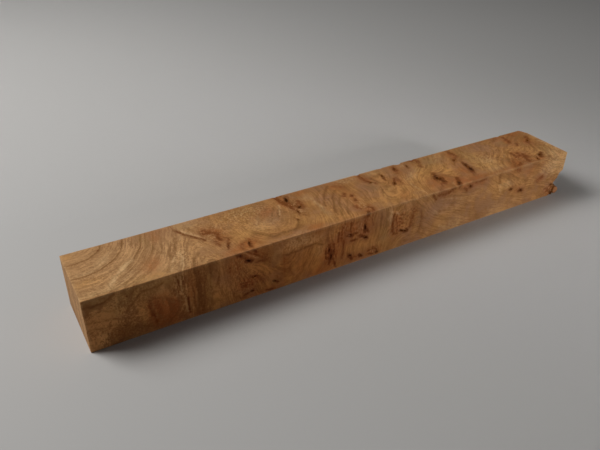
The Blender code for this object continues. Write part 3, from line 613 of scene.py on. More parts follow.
class BurlStudio(bpy.types.PropertyGroup):
    """The floor and the lights."""

    floor: colour("Floor", "The floor's colour", 190, 188, 185)
    key: setting("Key light", "Power of the large light behind the left end", KEY_POWER, unit="POWER")
    fill: setting("Fill light", "Power of the light by the front of the right end", FILL_POWER, unit="POWER")
    sky: setting("Sky", "Strength of the even light from all round", SKY_STRENGTH)


class BurlSettings(bpy.types.PropertyGroup):
    """All the settings of the block, kept on the scene."""

    shape: PointerProperty(type=BurlShape)
    colours: PointerProperty(type=BurlColours)
    studio: PointerProperty(type=BurlStudio)


def face_matrix(face, along, down, turn):
    """Carries X to a mark's long axis and Z to the face's outward normal, in metres."""
    corner, first, second, _, _ = FACES[face]
    axes = Matrix((first, -second, second.cross(first))).transposed().to_4x4()
    centre = corner + (first * along + second * down) * MM
    return Matrix.Translation(centre) @ axes @ Matrix.Rotation(math.radians(turn), 4, "Z")


def face_point(face, along, down):
    """A place on a face, in millimetres."""
    return np.array(face_matrix(face, along, down, 0).translation) / MM


def hidden_pits():
    """Seeded pits for the faces that the picture doesn't show."""
    rng = random.Random(PIT_SEED)
    pits = []

    def draw(face, along):
        run, height = FACES[face].run, FACES[face].height
        down = rng.uniform(MARGIN, height - MARGIN)
        long = rng.uniform(*HIDDEN_LONG)
        wide = long * rng.uniform(*HIDDEN_SHAPE)
        near_middle = math.hypot(along - run / 2, down - height / 2) < KEEP_CLEAR
        if not near_middle:
            deep = rng.uniform(*HIDDEN_DEEP)
            pits.append(Pit(face, along, down, long, wide, deep, rng.uniform(*ANY_TURN), HIDDEN_DARK))

    for face, count in PITS_PER_CLUSTER.items():
        for middle in CLUSTERS_ALONG:
            for _ in range(count):
                draw(face, LENGTH - middle + rng.gauss(0, CLUSTER_SPREAD))
    for face, count in END_PITS.items():
        for _ in range(count):
            draw(face, rng.uniform(2 * MARGIN, WIDTH - 2 * MARGIN))
    return pits


def object_from(bm, name, collection):
    mesh = bpy.data.meshes.new(name)
    bm.normal_update()
    bm.to_mesh(mesh)
    bm.free()
    obj = bpy.data.objects.new(name, mesh)
    collection.objects.link(obj)
    return obj


def sawn_bar(shape):
    """The bar as the saw left it: even facets on its faces and two along each arris."""
    bm = bmesh.new()
    bmesh.ops.create_cube(bm, size=1.0)
    bmesh.ops.scale(bm, vec=SIZE, verts=bm.verts)
    bmesh.ops.translate(bm, vec=(LOW + HIGH) / 2, verts=bm.verts)
    bmesh.ops.bevel(
        bm,
        geom=list(bm.edges),
        offset=shape.arris,
        segments=2,
        profile=0.5,
        affect="EDGES",
        material=-1,
    )
    for axis in range(3):
        full_length = SIZE[axis] - 3 * shape.arris
        edges = [e for e in bm.edges if abs((e.verts[0].co - e.verts[1].co)[axis]) > full_length]
        cuts = round(SIZE[axis] / shape.cell) - 1
        bmesh.ops.subdivide_edges(bm, edges=edges, cuts=cuts, use_grid_fill=True)
    return object_from(bm, PIECE, bpy.context.scene.collection)


def seeded_start(seed, steps):
    """Where in the noise this seed stands."""
    return Vector([seed * step for step in steps])


def roughened(bm, roughness, seed):
    """Pushes the points of a unit ball in and out, for the broken look of torn wood."""
    start = seeded_start(seed, LUMP_STEPS)
    for vert in bm.verts:
        bumps = sum(share * noise.noise(vert.co * count + start) for count, share in BUMPS)
        vert.co *= 1 + roughness * bumps


def lump(name, place, radii, roughness, seed, collection, splits=LUMP_SPLITS):
    """An uneven ball, as a cutter or as burl. place carries it into the bar."""
    bm = bmesh.new()
    bmesh.ops.create_icosphere(bm, subdivisions=splits, radius=1.0)
    roughened(bm, roughness, seed)
    scale = Matrix.Diagonal((*(radius * MM for radius in radii), 1.0))
    bmesh.ops.transform(bm, matrix=place @ scale, verts=bm.verts)
    return object_from(bm, name, collection)


def cut_pits(collection, pits):
    for index, pit in enumerate(pits):
        place = face_matrix(pit.face, pit.along, pit.down, pit.turn)
        radii = (pit.long / 2, pit.wide / 2, pit.deep)
        splits = LUMP_SPLITS if pit.long > BIG_PIT else SMALL_PIT_SPLITS
        lump(f"pit_{index:02d}", place, radii, PIT_ROUGHNESS, PIT_NOISE + index, collection, splits)


def cut_arris_chips(collection):
    for index, (along, long, reach) in enumerate(ARRIS_CHIPS):
        place = Matrix.Translation((LOW.x + along * MM, HIGH.y, HIGH.z))
        radii = (long / 2, reach, reach * CHIP_DROP)
        lump(f"chip_{index}", place, radii, PIT_ROUGHNESS, CHIP_NOISE + index, collection)


def corner_point(inward):
    """A place measured in from the right end, in from the front, and up from the underside."""
    from_end, from_front, height = (distance * MM for distance in inward)
    return Matrix.Translation((HIGH.x - from_end, LOW.y + from_front, height))


def cut_void(collection):
    for index, (centre, radii) in enumerate(VOID_LUMPS):
        place = corner_point(centre)
        seed = VOID_NOISE + index
        lump(f"void_{index}", place, radii, VOID_ROUGHNESS, seed, collection, VOID_SPLITS)


def leave_nub(collection):
    nub = lump("nub", corner_point(NUB_CENTRE), NUB_RADII, NUB_ROUGHNESS, NUB_NOISE, collection)
    for vert in nub.data.vertices:
        vert.co.x = min(vert.co.x, HIGH.x - NUB_SAWN_IN * MM)
        vert.co.y = max(vert.co.y, LOW.y + NUB_SAWN_IN * MM)
        vert.co.z = max(vert.co.z, LOW.z + NUB_SAWN_IN * MM)


def cut_wane(collection):
    """A wavy slab that leans in over the back right edge and leaves it at WANE_DEPTH."""
    bm = bmesh.new()
    bmesh.ops.create_grid(bm, x_segments=WANE_CUTS, y_segments=WANE_CUTS, size=0.5)
    for vert in bm.verts:
        bumps = sum(share * noise.noise(vert.co * count * WANE_WAVES / 2) for count, share in BUMPS)
        vert.co.z += WANE_WAVE * bumps / WANE_ACROSS
    lifted = bmesh.ops.extrude_face_region(bm, geom=list(bm.faces))["geom"]
    tops = [part for part in lifted if isinstance(part, bmesh.types.BMVert)]
    bmesh.ops.translate(bm, vec=(0, 0, 1), verts=tops)
    bmesh.ops.recalc_face_normals(bm, faces=bm.faces)
    # The slab's underside passes through these three points of the bar.
    on_end = Vector((HIGH.x, HIGH.y - WANE_ACROSS * MM, HIGH.z))
    on_back = Vector((HIGH.x - WANE_ALONG * MM, HIGH.y, HIGH.z))
    at_foot = Vector((HIGH.x, HIGH.y, HIGH.z - WANE_DEPTH * MM))
    outward = (on_back - on_end).cross(at_foot - on_end).normalized()
    if outward.x < 0:
        outward.negate()
    up = (at_foot - (on_end + on_back) / 2).normalized()
    axes = Matrix((up.cross(outward), up, outward)).transposed().to_4x4()
    middle = Matrix.Translation((on_end + on_back + at_foot) / 3)
    size = Vector((*(share * WANE_DEPTH for share in WANE_SLAB), WANE_ACROSS)) * MM
    bmesh.ops.transform(bm, matrix=middle @ axes @ Matrix.Diagonal((*size, 1.0)), verts=bm.verts)
    return object_from(bm, "wane", collection)


def boolean(target, operation, collection):
    modifier = target.modifiers.new(collection.name, "BOOLEAN")
    modifier.operation = operation
    modifier.operand_type = "COLLECTION"
    modifier.collection = collection
    modifier.solver = "EXACT"


def new_collection(name):
    collection = bpy.data.collections.new(name)
    bpy.context.scene.collection.children.link(collection)
    return collection


def apply_modifiers(obj):
    """Gives the object its own evaluated mesh and drops its modifiers."""
    depsgraph = bpy.context.evaluated_depsgraph_get()
    mesh = bpy.data.meshes.new_from_object(obj.evaluated_get(depsgraph))
    obj.modifiers.clear()
    obj.data = mesh


def remove_collection(collection):
    for obj in list(collection.objects):
        bpy.data.objects.remove(obj)
    bpy.data.collections.remove(collection)


def carve(bar, pits):
    """Breaks the void, wane and chips off the bar, leaves the nub, and bores the pits."""
    broken, nub, holes = (new_collection(name) for name in ("broken_away", "burl_nub", "bud_pits"))
    cut_void(broken)
    cut_wane(broken)
    cut_arris_chips(broken)
    leave_nub(nub)
    cut_pits(holes, pits)
    boolean(bar, "DIFFERENCE", broken)
    boolean(bar, "UNION", nub)
    boolean(bar, "DIFFERENCE", holes)
    apply_modifiers(bar)
    for collection in (broken, nub, holes):
        remove_collection(collection)


# How much deeper than its half width a stain or an eye goes, how far an eye spreads, how steeply each
# fades, and how far a stroke spreads, as a share of its width.
STAIN_DEEPER, STAIN_FADE = 1.5, 2.2
EYE_DEEPER, EYE_SPREAD, EYE_FADE = 1.0, 1.5, 2.5
STROKE_SPREAD = 0.72


def oval_distance(points, oval, deep):
    """How far each point lies from an oval's middle, where 1 is its edge."""
    inverse = np.array(face_matrix(oval.face, oval.along, oval.down, oval.turn).inverted())
    local = points @ (inverse[:3, :3] * MM).T + inverse[:3, 3]
    return np.linalg.norm(local / (np.array((oval.long / 2, oval.wide / 2, deep)) * MM), axis=1)


def stroke_distance(points, stroke):
    """How far each point lies from a stroke's middle line, in millimetres."""
    line = [face_point(stroke.face, *place) for place in stroke.points]
    nearest = np.full(len(points), np.inf)
    for start, end in zip(line, line[1:]):
        run = end - start
        share = np.clip((points - start) @ run / (run @ run), 0, 1)
        nearest = np.minimum(nearest, np.linalg.norm(points - start - share[:, None] * run, axis=1))
    return nearest


def overlay(count, layers):
    """Joins layers of 0 to 1, as stains that lie over each other."""
    clear = np.ones(count)
    for layer in layers:
        clear *= 1 - np.clip(layer, 0, 1)
    return 1 - clear


def stains(points, ovals, skin=None):
    """A stain fades out to about half again past its edge. With skin, it stays that shallow."""
    layers = []
    for oval in ovals:
        deep = skin or 0.5 * min(oval.long, oval.wide) + STAIN_DEEPER
        layers.append(oval.strength * np.exp(-oval_distance(points, oval, deep) ** STAIN_FADE))
    return overlay(len(points), layers)


def strokes(points, lines):
    """A stroke is strongest on its middle line, and fades out over 1.5 widths to each side."""
    best = np.zeros(len(points))
    for line in lines:
        share = stroke_distance(points, line) / (STROKE_SPREAD * line.wide)
        best = np.maximum(best, line.strength * np.exp(-(share**2)))
    return best


def eyes(points, ovals):
    """1 in the middle of an eye, about 0.7 at its edge, and a rim that fades over three widths."""
    best = np.zeros(len(points))
    for oval in ovals:
        distance = oval_distance(points, oval, 0.5 * oval.wide + EYE_DEEPER)
        best = np.maximum(best, oval.strength / (1 + (distance / EYE_SPREAD) ** EYE_FADE))
    return best


# What is listed gets an uneven outline: the size and reach of each wander.
WANDERS = ((3.5, 1.5), (1.5, 0.8))
STROKE_WANDER = 0.4
EYE_WANDER = 0.35


def wandered(points, share=1.0):
    """Each point moved a little, the same way at the same place."""
    moved = points.copy()
    for size, reach in WANDERS:
        moved += share * reach * np.array([noise.noise_vector(Vector(point) / size) for point in points])
    return moved


def waves(points, size, seed):
    """Smooth noise from -1 to 1 whose bumps are about size millimetres across."""
    start = seeded_start(seed, WAVE_STEPS)
    return np.array([noise.noise(Vector(point) / size + start) for point in points])


# The growth rings stand round two middles: one beyond the far arris at the left end, and a bowl in
# the top face. A place is along, down from the far arris and below the top. Each has its stretch, and
# how much later it starts.
RING_MIDDLES = [
    ((5.0, -8.0, 0.0), (1.0, 1 / 1.15, 0.45), 0.0),
    ((103.5, 11.0, -3.0), (1.5, 1.0, 0.8), 0.6),
]
RING_BLEND = 5.0
# Past the middle of the bar the rings give way to grain that flows along it.
FLOW_FROM, FLOW_TO = 150.0, 205.0
FLOW_START = 184.0
FLOW_SLOPE = (-0.42, -0.34, 1.0)
# Between the two middles the rings run straight across the bar, a little aslant.
STRAIGHT_FROM, STRAIGHT_TO = 38.0, 50.0
STRAIGHT_START = -2.54
STRAIGHT_SLOPE = (0.944, 0.33, 0.0)
# The rings wander more along the bar: from and to where, and the size and amount of each wander.
DRIFT_FROM, DRIFT_TO = 60.0, 160.0
DRIFTS = ((34, 6.0), (15, 2.2))
# Each eye pushes the rings outwards, by a share of its width, this far past its edge.
EYE_PUSH = 0.55
EYE_REACH = 1.5


def smooth_step(values, low, high):
    share = np.clip((values - low) / (high - low), 0, 1)
    return share * share * (3 - 2 * share)


def ring_field(points, eye_ovals):
    """The distance grown from the heart of the burl, in millimetres, at each point."""
    layout = np.stack(
        (points[:, 0] - LOW.x / MM, HIGH.y / MM - points[:, 1], HIGH.z / MM - points[:, 2]), axis=1
    )
    along = layout[:, 0]
    parts = []
    for middle, stretch, shift in RING_MIDDLES:
        parts.append(np.linalg.norm((layout - middle) * stretch, axis=1) + shift)
    straight = STRAIGHT_START + layout @ np.array(STRAIGHT_SLOPE)
    parts[0] += (straight - parts[0]) * smooth_step(along, STRAIGHT_FROM, STRAIGHT_TO)
    smallest = np.minimum(*parts)
    closeness = sum(np.exp((smallest - part) / RING_BLEND) for part in parts)
    rings = smallest - RING_BLEND * np.log(closeness)
    flow = FLOW_START + layout @ np.array(FLOW_SLOPE)
    rings += (flow - rings) * smooth_step(along, FLOW_FROM, FLOW_TO)
    for seed, (size, amount) in enumerate(DRIFTS):
        rings += amount * smooth_step(along, DRIFT_FROM, DRIFT_TO) * waves(points, size, seed + 1)
    for swirl in SWIRLS:
        deep = 0.5 * min(swirl.long, swirl.wide)
        rings += swirl.strength * np.exp(-oval_distance(points, swirl, deep) ** 2)
    for oval in eye_ovals:
        reach = oval._replace(long=oval.long + 2 * EYE_REACH, wide=oval.wide + 2 * EYE_REACH)
        push = EYE_PUSH * min(reach.long, reach.wide) * oval.strength
        rings -= push * np.exp(-oval_distance(points, reach, 0.5 * reach.wide) ** 2)
    return rings


def pit_eyes(pits):
    return [Oval(p.face, p.along, p.down, p.long, p.wide, p.dark, p.turn) for p in pits]


HIDDEN_SEED = 41
HIDDEN_STAINS = {"red": 16, "brown": 8, "gold": 9, "mauve": 8, "olive": 7, "pale": 9}
STAIN_LONG = (5, 24)
STAIN_SHAPE = (0.35, 0.8)
STAIN_STRENGTH = (0.5, 0.9)
# A hidden pit stands in a red stain, so many times its size, and a vein runs out near its long axis.
PIT_STAIN_LONG, PIT_STAIN_WIDE, PIT_STAIN_STRENGTH = 3.2, 3.0, 0.8
VEIN_TURN = (-15, 15)
VEIN_REACH = (3, 8)
VEIN_WIDE = 1.8
VEIN_STRENGTH = (0.4, 0.9)


def hidden_figure(pits):
    """Seeded stains for the back and the underside, and a stain and a vein for each hidden pit."""
    rng = random.Random(HIDDEN_SEED)
    found = {name: [] for name in HIDDEN_STAINS}
    for face in ("back", "bottom"):
        for name, count in HIDDEN_STAINS.items():
            for _ in range(count):
                along = rng.uniform(0, LENGTH)
                down = rng.uniform(0, FACES[face].height)
                long = rng.uniform(*STAIN_LONG)
                wide = long * rng.uniform(*STAIN_SHAPE)
                strength = rng.uniform(*STAIN_STRENGTH)
                turn = rng.uniform(*ANY_TURN)
                found[name].append(Oval(face, along, down, long, wide, strength, turn))
    veins = []
    for pit in pits:
        face, along, down = pit[:3]
        long, wide = PIT_STAIN_LONG * pit.long, PIT_STAIN_WIDE * pit.wide
        found["red"].append(Oval(face, along, down, long, wide, PIT_STAIN_STRENGTH, pit.turn))
        angle = math.radians(-pit.turn + rng.uniform(*VEIN_TURN))
        reach = rng.uniform(*VEIN_REACH)
        end = (along + reach * math.cos(angle), down + reach * math.sin(angle))
        veins.append(Stroke(face, VEIN_WIDE, rng.uniform(*VEIN_STRENGTH), ((along, down), end)))
    return found, veins


def refine(bm, wanted, longest):
    """Halves each edge between wanted points that is longer than this."""
    edges = []
    for edge in bm.edges:
        first, second = edge.verts
        if wanted[first.index] and wanted[second.index] and edge.calc_length() > longest:
            edges.append(edge)
    bmesh.ops.subdivide_edges(bm, edges=edges, cuts=1, use_grid_fill=True)
    bm.verts.index_update()


def split_large(bm):
    """Makes triangles of the faces that have more than four corners."""
    bmesh.ops.triangulate(bm, faces=[face for face in bm.faces if len(face.verts) > 4])


def mesh_points(bm):
    return np.array([vert.co for vert in bm.verts]) / MM


def inside_faces(points):
    """How far each point lies inside the nearer face of the sawn box on each axis, in millimetres."""
    low, high = np.array(LOW) / MM, np.array(HIGH) / MM
    return np.minimum(points - low, high - points)


def depth_inside(points):
    """How far each point lies inside the sawn box, in millimetres."""
    return inside_faces(points).min(axis=1)


def arris_distance(points):
    """How far each point lies from the nearest sawn edge, in millimetres."""
    nearest_two = np.sort(inside_faces(points), axis=1)[:, :2]
    return np.linalg.norm(np.clip(nearest_two, 0, None), axis=1)


def into_box(bm):
    for vert in bm.verts:
        vert.co = Vector([min(max(c, low), high) for c, low, high in zip(vert.co, LOW, HIGH)])


# Wood that lies no deeper counts as sawn, and the faint rim of an eye needs no finer facets.
SAWN_DEPTH = 0.02
EYE_RIM = 0.1
# How marked the figure is from where on, and how wide the facets may be there.
FINER_CELLS = ((0.04, 0.9 * MM), (0.15, 0.5 * MM))
TORN_CELL = 0.45 * MM
# Torn wood lies this near the right end, and the nub within this share of its own ball.
TORN_REACH = 12
NUB_NEAR = 1.12
SAME_PLACE = 0.01 * MM
NO_WIDTH = 0.002 * MM
# The fibres of the torn wood, and how unevenly the arrises are rubbed: sizes and their shares.
FIBRES = ((0.7 * MM, 1.0), (0.3 * MM, 0.5))
RUBS = ((5 * MM, 0.5), (1.6 * MM, 0.3))
RUB_LEVEL = 0.5
RUB_REACH = 1.6


def bumps_at(place, sizes, level=0.0):
    """Noise of several sizes, added to a level."""
    return sum((share * noise.noise(place / size) for size, share in sizes), level)


def weathered(bar, shape, eye_ovals, lines):
    """Makes the facets finer where the figure is, and roughens the torn wood and the arrises."""
    bm = bmesh.new()
    bm.from_mesh(bar.data)
    bmesh.ops.remove_doubles(bm, verts=bm.verts, dist=SAME_PLACE)
    split_large(bm)
    bm.verts.index_update()
    for marked, cell in FINER_CELLS:
        points = mesh_points(bm)
        eyed = eyes(wandered(points, EYE_WANDER), eye_ovals) - EYE_RIM
        dark = np.maximum(eyed, strokes(wandered(points, STROKE_WANDER), lines))
        refine(bm, (dark > marked) & (depth_inside(points) < SAWN_DEPTH), cell)
    arris_depth = SAWN_DEPTH + shape.arris / MM
    refine(bm, is_torn(mesh_points(bm), arris_depth), TORN_CELL)
    split_large(bm)
    bmesh.ops.dissolve_degenerate(bm, dist=NO_WIDTH, edges=list(bm.edges))
    split_large(bm)
    bm.normal_update()
    points = mesh_points(bm)
    torn = is_torn(points, arris_depth) & ~on_nub(points)
    rubbed = np.clip(1 - arris_distance(points) / (RUB_REACH * shape.arris / MM), 0, 1)
    for vert, broken, rub in zip(bm.verts, torn, rubbed):
        if broken:
            vert.co += vert.normal * shape.tear * bumps_at(vert.co, FIBRES)
        elif rub:
            rubbed_in = bumps_at(vert.co, RUBS, RUB_LEVEL)
            vert.co -= vert.normal * shape.wear * rub * max(rubbed_in, 0)
    into_box(bm)
    bm.to_mesh(bar.data)
    bm.free()


def is_torn(points, deeper):
    """Whether each point lies on the broken wood of the right end."""
    return (depth_inside(points) > deeper) & (points[:, 0] > HIGH.x / MM - TORN_REACH)


def on_nub(points):
    centre = np.array(corner_point(NUB_CENTRE).translation) / MM
    return np.linalg.norm((points - centre) / NUB_RADII, axis=1) < NUB_NEAR


def put_values(mesh, name, values):
    attribute = mesh.attributes.new(name, "FLOAT", "POINT")
    attribute.data.foreach_set("value", values.astype(np.float32))


def put_layers(mesh, name, layers):
    """Stores four layers of 0 to 1 as one colour attribute."""
    attribute = mesh.attributes.new(name, "FLOAT_COLOR", "POINT")
    attribute.data.foreach_set("color", np.stack(layers, axis=1).astype(np.float32).ravel())


# The figure's layers, by the colour attribute that holds them, four at most in each.
LAYER_SETS = {
    # The last of the warm layers is the front's painted shade, with its darker heart.
    "warm": ("red", "brown", "gold", "heart_and_painted_shade"),
    "cool": ("mauve", "olive", "pale", "flecks"),
    "lines": ("vein", "smears", "pale_vein", "torn"),
    "wood": ("eyes", "growth", "rosy", "wear"),
    "kinds": ("lively", "speckled"),
}
# How deep the wood has to lie to look torn, and how torn the nub looks.
TORN_DEPTH = 0.35
NUB_TORN = 0.15
# The pale left end turns rosy from and to here along the bar, give or take a wave.
ROSY_FROM, ROSY_TO = 40.0, 95.0
ROSY_WAVE, ROSY_WAVE_LONG, ROSY_SEED = 8, 14, 9
WEAR_REACH = 0.7
# The front's painted shade lies no deeper than this, so that it stays on that face.
PAINTED_SHADE_SKIN = 0.7


def paint_figure(bar, eye_ovals, stain_ovals, line_strokes):
    """Writes the figure into the mesh: rings, eyes, stains, veins, torn wood and the front's painted shade,
    at each point.
    """
    mesh = bar.data
    flat = np.empty(len(mesh.vertices) * 3)
    mesh.vertices.foreach_get("co", flat)
    points = flat.reshape(-1, 3) / MM
    astray = wandered(points)
    layers = {name: stains(astray, ovals) for name, ovals in stain_ovals.items()}
    steadier = wandered(points, STROKE_WANDER)
    layers |= {name: strokes(steadier, lines) for name, lines in line_strokes.items()}
    # The painted shade of the front, with its darker heart.
    layers["heart_and_painted_shade"] = stains(points, HEART_AND_PAINTED_SHADE, PAINTED_SHADE_SKIN)
    layers["flecks"] = stains(astray, FLECKS)
    layers["lively"] = stains(points, LIVELY)
    layers["speckled"] = stains(points, SPECKLED)
    layers["growth"] = stains(points, LINES_SHOWN)
    layers["torn"] = is_torn(points, TORN_DEPTH) * np.where(on_nub(points), NUB_TORN, 1.0)
    layers["eyes"] = eyes(wandered(points, EYE_WANDER), eye_ovals)
    from_left = points[:, 0] - LOW.x / MM + ROSY_WAVE * waves(points, ROSY_WAVE_LONG, ROSY_SEED)
    layers["rosy"] = smooth_step(from_left, ROSY_FROM, ROSY_TO)
    layers["wear"] = np.exp(-((arris_distance(points) / WEAR_REACH) ** 2))
    put_values(mesh, "rings", ring_field(points, eye_ovals))
    spare = np.zeros(len(points))
    for name, parts in LAYER_SETS.items():
        held = [layers[part] for part in parts]
        put_layers(mesh, name, held + [spare] * (4 - len(held)))


def node(tree, kind, inputs=None, **settings):
    """Adds a node, sets its options, and sets or links its inputs by name or number."""
    made = tree.nodes.new("ShaderNode" + kind)
    for name, value in settings.items():
        setattr(made, name, value)
    for key, value in (inputs or {}).items():
        if isinstance(value, bpy.types.NodeSocket):
            tree.links.new(value, made.inputs[key])
        else:
            made.inputs[key].default_value = value
    return made


def maths(tree, operation, *values):
    return node(tree, "Math", dict(enumerate(values)), operation=operation).outputs[0]


def noise_value(tree, place, scale, detail=2.0, rough=0.5, along=None):
    """Noise of 0 to 1. With along, it is drawn out where that value stays the same."""
    inputs = {"Vector": place, "Scale": scale, "Detail": detail, "Roughness": rough}
    if along is not None:
        inputs["W"] = along
    dimensions = "3D" if along is None else "4D"
    return node(tree, "TexNoise", inputs, noise_dimensions=dimensions).outputs["Fac"]


def ramp(tree, value, name):
    """Takes a value through one of the smooth steps."""
    low, high, *ends = STEPS[name]
    bottom, top = ends or (0.0, 1.0)
    inputs = {0: value, 1: low, 2: high, 3: bottom, 4: top}
    return node(tree, "MapRange", inputs, interpolation_type="SMOOTHSTEP").outputs[0]


def swayed(tree, base, value, amount):
    """Base, moved up or down by how far a value of 0 to 1 lies from its middle."""
    return maths(tree, "MULTIPLY_ADD", maths(tree, "SUBTRACT", value, 0.5), amount, base)


def blend(tree, share, under, over, kind="MIX"):
    """Lays one colour over another by a share."""
    inputs = {0: share, 6: under, 7: over}
    return node(tree, "Mix", inputs, data_type="RGBA", blend_type=kind).outputs[2]


def new_group(name, inputs, outputs):
    """A node group with these named sockets, and its two end nodes."""
    tree = bpy.data.node_groups.new(name, "ShaderNodeTree")
    for label, kind in inputs.items():
        tree.interface.new_socket(label, in_out="INPUT", socket_type=kind)
    for label, kind in outputs.items():
        tree.interface.new_socket(label, in_out="OUTPUT", socket_type=kind)
    return tree, tree.nodes.new("NodeGroupInput"), tree.nodes.new("NodeGroupOutput")


VALUE, VECTOR = "NodeSocketFloat", "NodeSocketVector"
# The growth lines that show, as distances from the heart, and how dark each is.
RING_LINES = (
    (16.0, 0.8), (20.4, 0.2), (26.4, 1.0), (31.0, 0.3), (35.0, 0.8), (37.4, 0.7), (41.3, 0.6)
)
RING_SPAN = 60.0
# How far a line reaches inwards and outwards, and how dark it still is there.
RING_SHARP, RING_SOFT = 0.35, 1.0
RING_TAIL = 0.15
# Open pores lie in a band outside each line.
PORE_BAND = 3.2


def growth_lines(tree, rings):
    """Thin dark lines at RING_LINES, sharp on the inner side and fading on the outer."""
    made = node(tree, "ValToRGB", {0: maths(tree, "DIVIDE", rings, RING_SPAN)})
    stops = made.color_ramp.elements
    stops[0].position, stops[0].color = 0.0, (0, 0, 0, 1)
    stops[1].position, stops[1].color = 1.0, (0, 0, 0, 1)
    for place, dark in RING_LINES:
        last = min(PORE_BAND, 0.5 * (next_line(place) - place) + RING_SOFT)
        for shift, line, pores in ((-RING_SHARP, 0, 0), (0, 1, 1), (RING_SOFT, RING_TAIL, 1), (last, 0, 0)):
            stop = stops.new((place + shift) / RING_SPAN)
            stop.color = (dark * line, dark * pores, 0, 1)
    split = node(tree, "SeparateColor", {0: made.outputs[0]})
    return split.outputs[0], split.outputs[1]


def next_line(place):
    later = [line for line, _ in RING_LINES if line > place]
    return min(later, default=RING_SPAN)


def weighted(tree, values, weights):
    """The sum of the named values, each times its weight."""
    total = 0.0
    for name, weight in weights.items():
        total = maths(tree, "MULTIPLY_ADD", values[name], weight, total)
    return total


# The noises of the figure: scale, detail and roughness. Those of RING_NOISES are also drawn out
# along the rings, which they follow as closely as their first number says.
NOISES = {
    "broad": (0.16, 2.0),
    "small": (0.9, 3.0),
    "mottle": (0.33, 4.0, 0.6),
    "fine": (1.7, 2.0, 0.6),
    "speckle": (0.85, 1.0),
    "hue": (0.12, 3.0),
}
RING_NOISES = {
    "wide": (8.0, 0.05, 2.0),
    "bands": (16.0, 0.06, 3.0),
    "streaks": (8.0, 0.25, 2.0),
    "threads": (3.4, 0.8, 2.0),
}
FLECK_NOISE = (1.0, 2.0)
FLECK_SCALE = (1.15, 1.15, 0.55)
# How far the noises move the grain and the growth lines, in millimetres.
GRAIN_SWAYS = {"broad": 1.8, "small": 0.75}
LINE_SWAYS = {"small": 0.9, "broad": 1.4}
GRAIN_SHARES = {"wide": 0.14, "bands": 0.28, "streaks": 0.22, "threads": 0.10, "mottle": 0.16, "fine": 0.10}
BREAK_SHARES = {"small": 0.35, "mottle": 0.30, "streaks": 0.35}
PORE_SCALE = 1.25
PORE_CROWD = 0.22
# The smooth steps: from and to where, and what they go between where that isn't 0 and 1.
STEPS = {
    "grain": (0.40, 0.60),
    "speckle": (0.36, 0.64),
    "break": (0.38, 0.62),
    "line_patches": (0.25, 0.5, 0.55, 1.0),
    "band_pores": (0.45, 0.7, 0.06, 0.20),
    "pore_edge": (-0.06, 0.06),
    "crisp_edge": (0.05, 0.9),
    "lively": (0.0, 1.0, 0.45, 1.2),
    "lively_patches": (0.36, 0.62, 0.7, 1.4),
    "golden": (0.50, 0.64),
    "mauve": (0.50, 0.36),
    "grain_light": (0.0, 1.0, 0.84, 1.12),
    "pale_flecks": (0.54, 0.64),
    "dark_flecks": (0.47, 0.37),
    "eye_rim": (0.14, 0.52),
    "eye_middle": (0.45, 0.95),
    "bark": (0.2, 0.8),
    "roughness": (0.3, 0.7, 0.76, 0.66),
}


def figure_group():
    """The grain that follows the rings, and what breaks up the edges of the stains."""
    inputs = {"Place": VECTOR, "Rings": VALUE, "Growth": VALUE}
    labels = ("Grain", "Speckle", "Lines", "Break", "Pores", "Flecks", "Fine", "Hue")
    tree, start, end = new_group("burl_figure", inputs, dict.fromkeys(labels, VALUE))
    place, rings, growth = (start.outputs[name] for name in inputs)
    noises = {name: noise_value(tree, place, *sizes) for name, sizes in NOISES.items()}
    warp = near = rings
    for name, amount in GRAIN_SWAYS.items():
        warp = swayed(tree, warp, noises[name], amount)
    for name, amount in LINE_SWAYS.items():
        near = swayed(tree, near, noises[name], amount)
    for name, (follow, *sizes) in RING_NOISES.items():
        along = maths(tree, "MULTIPLY", warp, follow)
        noises[name] = noise_value(tree, place, *sizes, along=along)
    lines, pore_band = growth_lines(tree, near)
    lines = maths(tree, "MULTIPLY", lines, ramp(tree, noises["broad"], "line_patches"))
    pore_band = maths(tree, "MULTIPLY", pore_band, growth)
    pore_cells = node(tree, "TexVoronoi", {"Vector": place, "Scale": PORE_SCALE}, feature="F1")
    band_pores = ramp(tree, noises["bands"], "band_pores")
    crowd = maths(tree, "MULTIPLY_ADD", pore_band, PORE_CROWD, band_pores)
    pores = maths(tree, "SUBTRACT", crowd, pore_cells.outputs["Distance"])
    specks = node(tree, "Mapping", {"Vector": place, "Scale": FLECK_SCALE}).outputs[0]
    ends = {
        "Grain": ramp(tree, weighted(tree, noises, GRAIN_SHARES), "grain"),
        "Speckle": ramp(tree, noises["speckle"], "speckle"),
        "Lines": maths(tree, "MULTIPLY", lines, growth),
        "Break": ramp(tree, weighted(tree, noises, BREAK_SHARES), "break"),
        "Pores": ramp(tree, pores, "pore_edge"),
        "Flecks": noise_value(tree, specks, *FLECK_NOISE),
        "Fine": noises["threads"],
        "Hue": noises["hue"],
    }
    for label, value in ends.items():
        tree.links.new(value, end.inputs[label])
    return tree


def edge_group():
    """Breaks up a soft layer with the grain: Soft fades out, and Crisp has an edge."""
    inputs = {"Layer": VALUE, "Break": VALUE, "Raggedness": VALUE}
    tree, start, end = new_group("ragged_edge", inputs, {"Soft": VALUE, "Crisp": VALUE})
    layer, breaks, raggedness = (start.outputs[name] for name in inputs)
    change = maths(tree, "MAXIMUM", swayed(tree, 1.0, breaks, raggedness), 0.0)
    total = maths(tree, "MULTIPLY", layer, change)
    tree.links.new(maths(tree, "MINIMUM", total, 1.0), end.inputs["Soft"])
    tree.links.new(ramp(tree, total, "crisp_edge"), end.inputs["Crisp"])
    return tree


def new_material(name):
    """A material with its node tree and its shader."""
    material = bpy.data.materials.new(name)
    material.use_nodes = True
    return material, material.node_tree, material.node_tree.nodes["Principled BSDF"]


def tint(value):
    return (*value, 1.0)


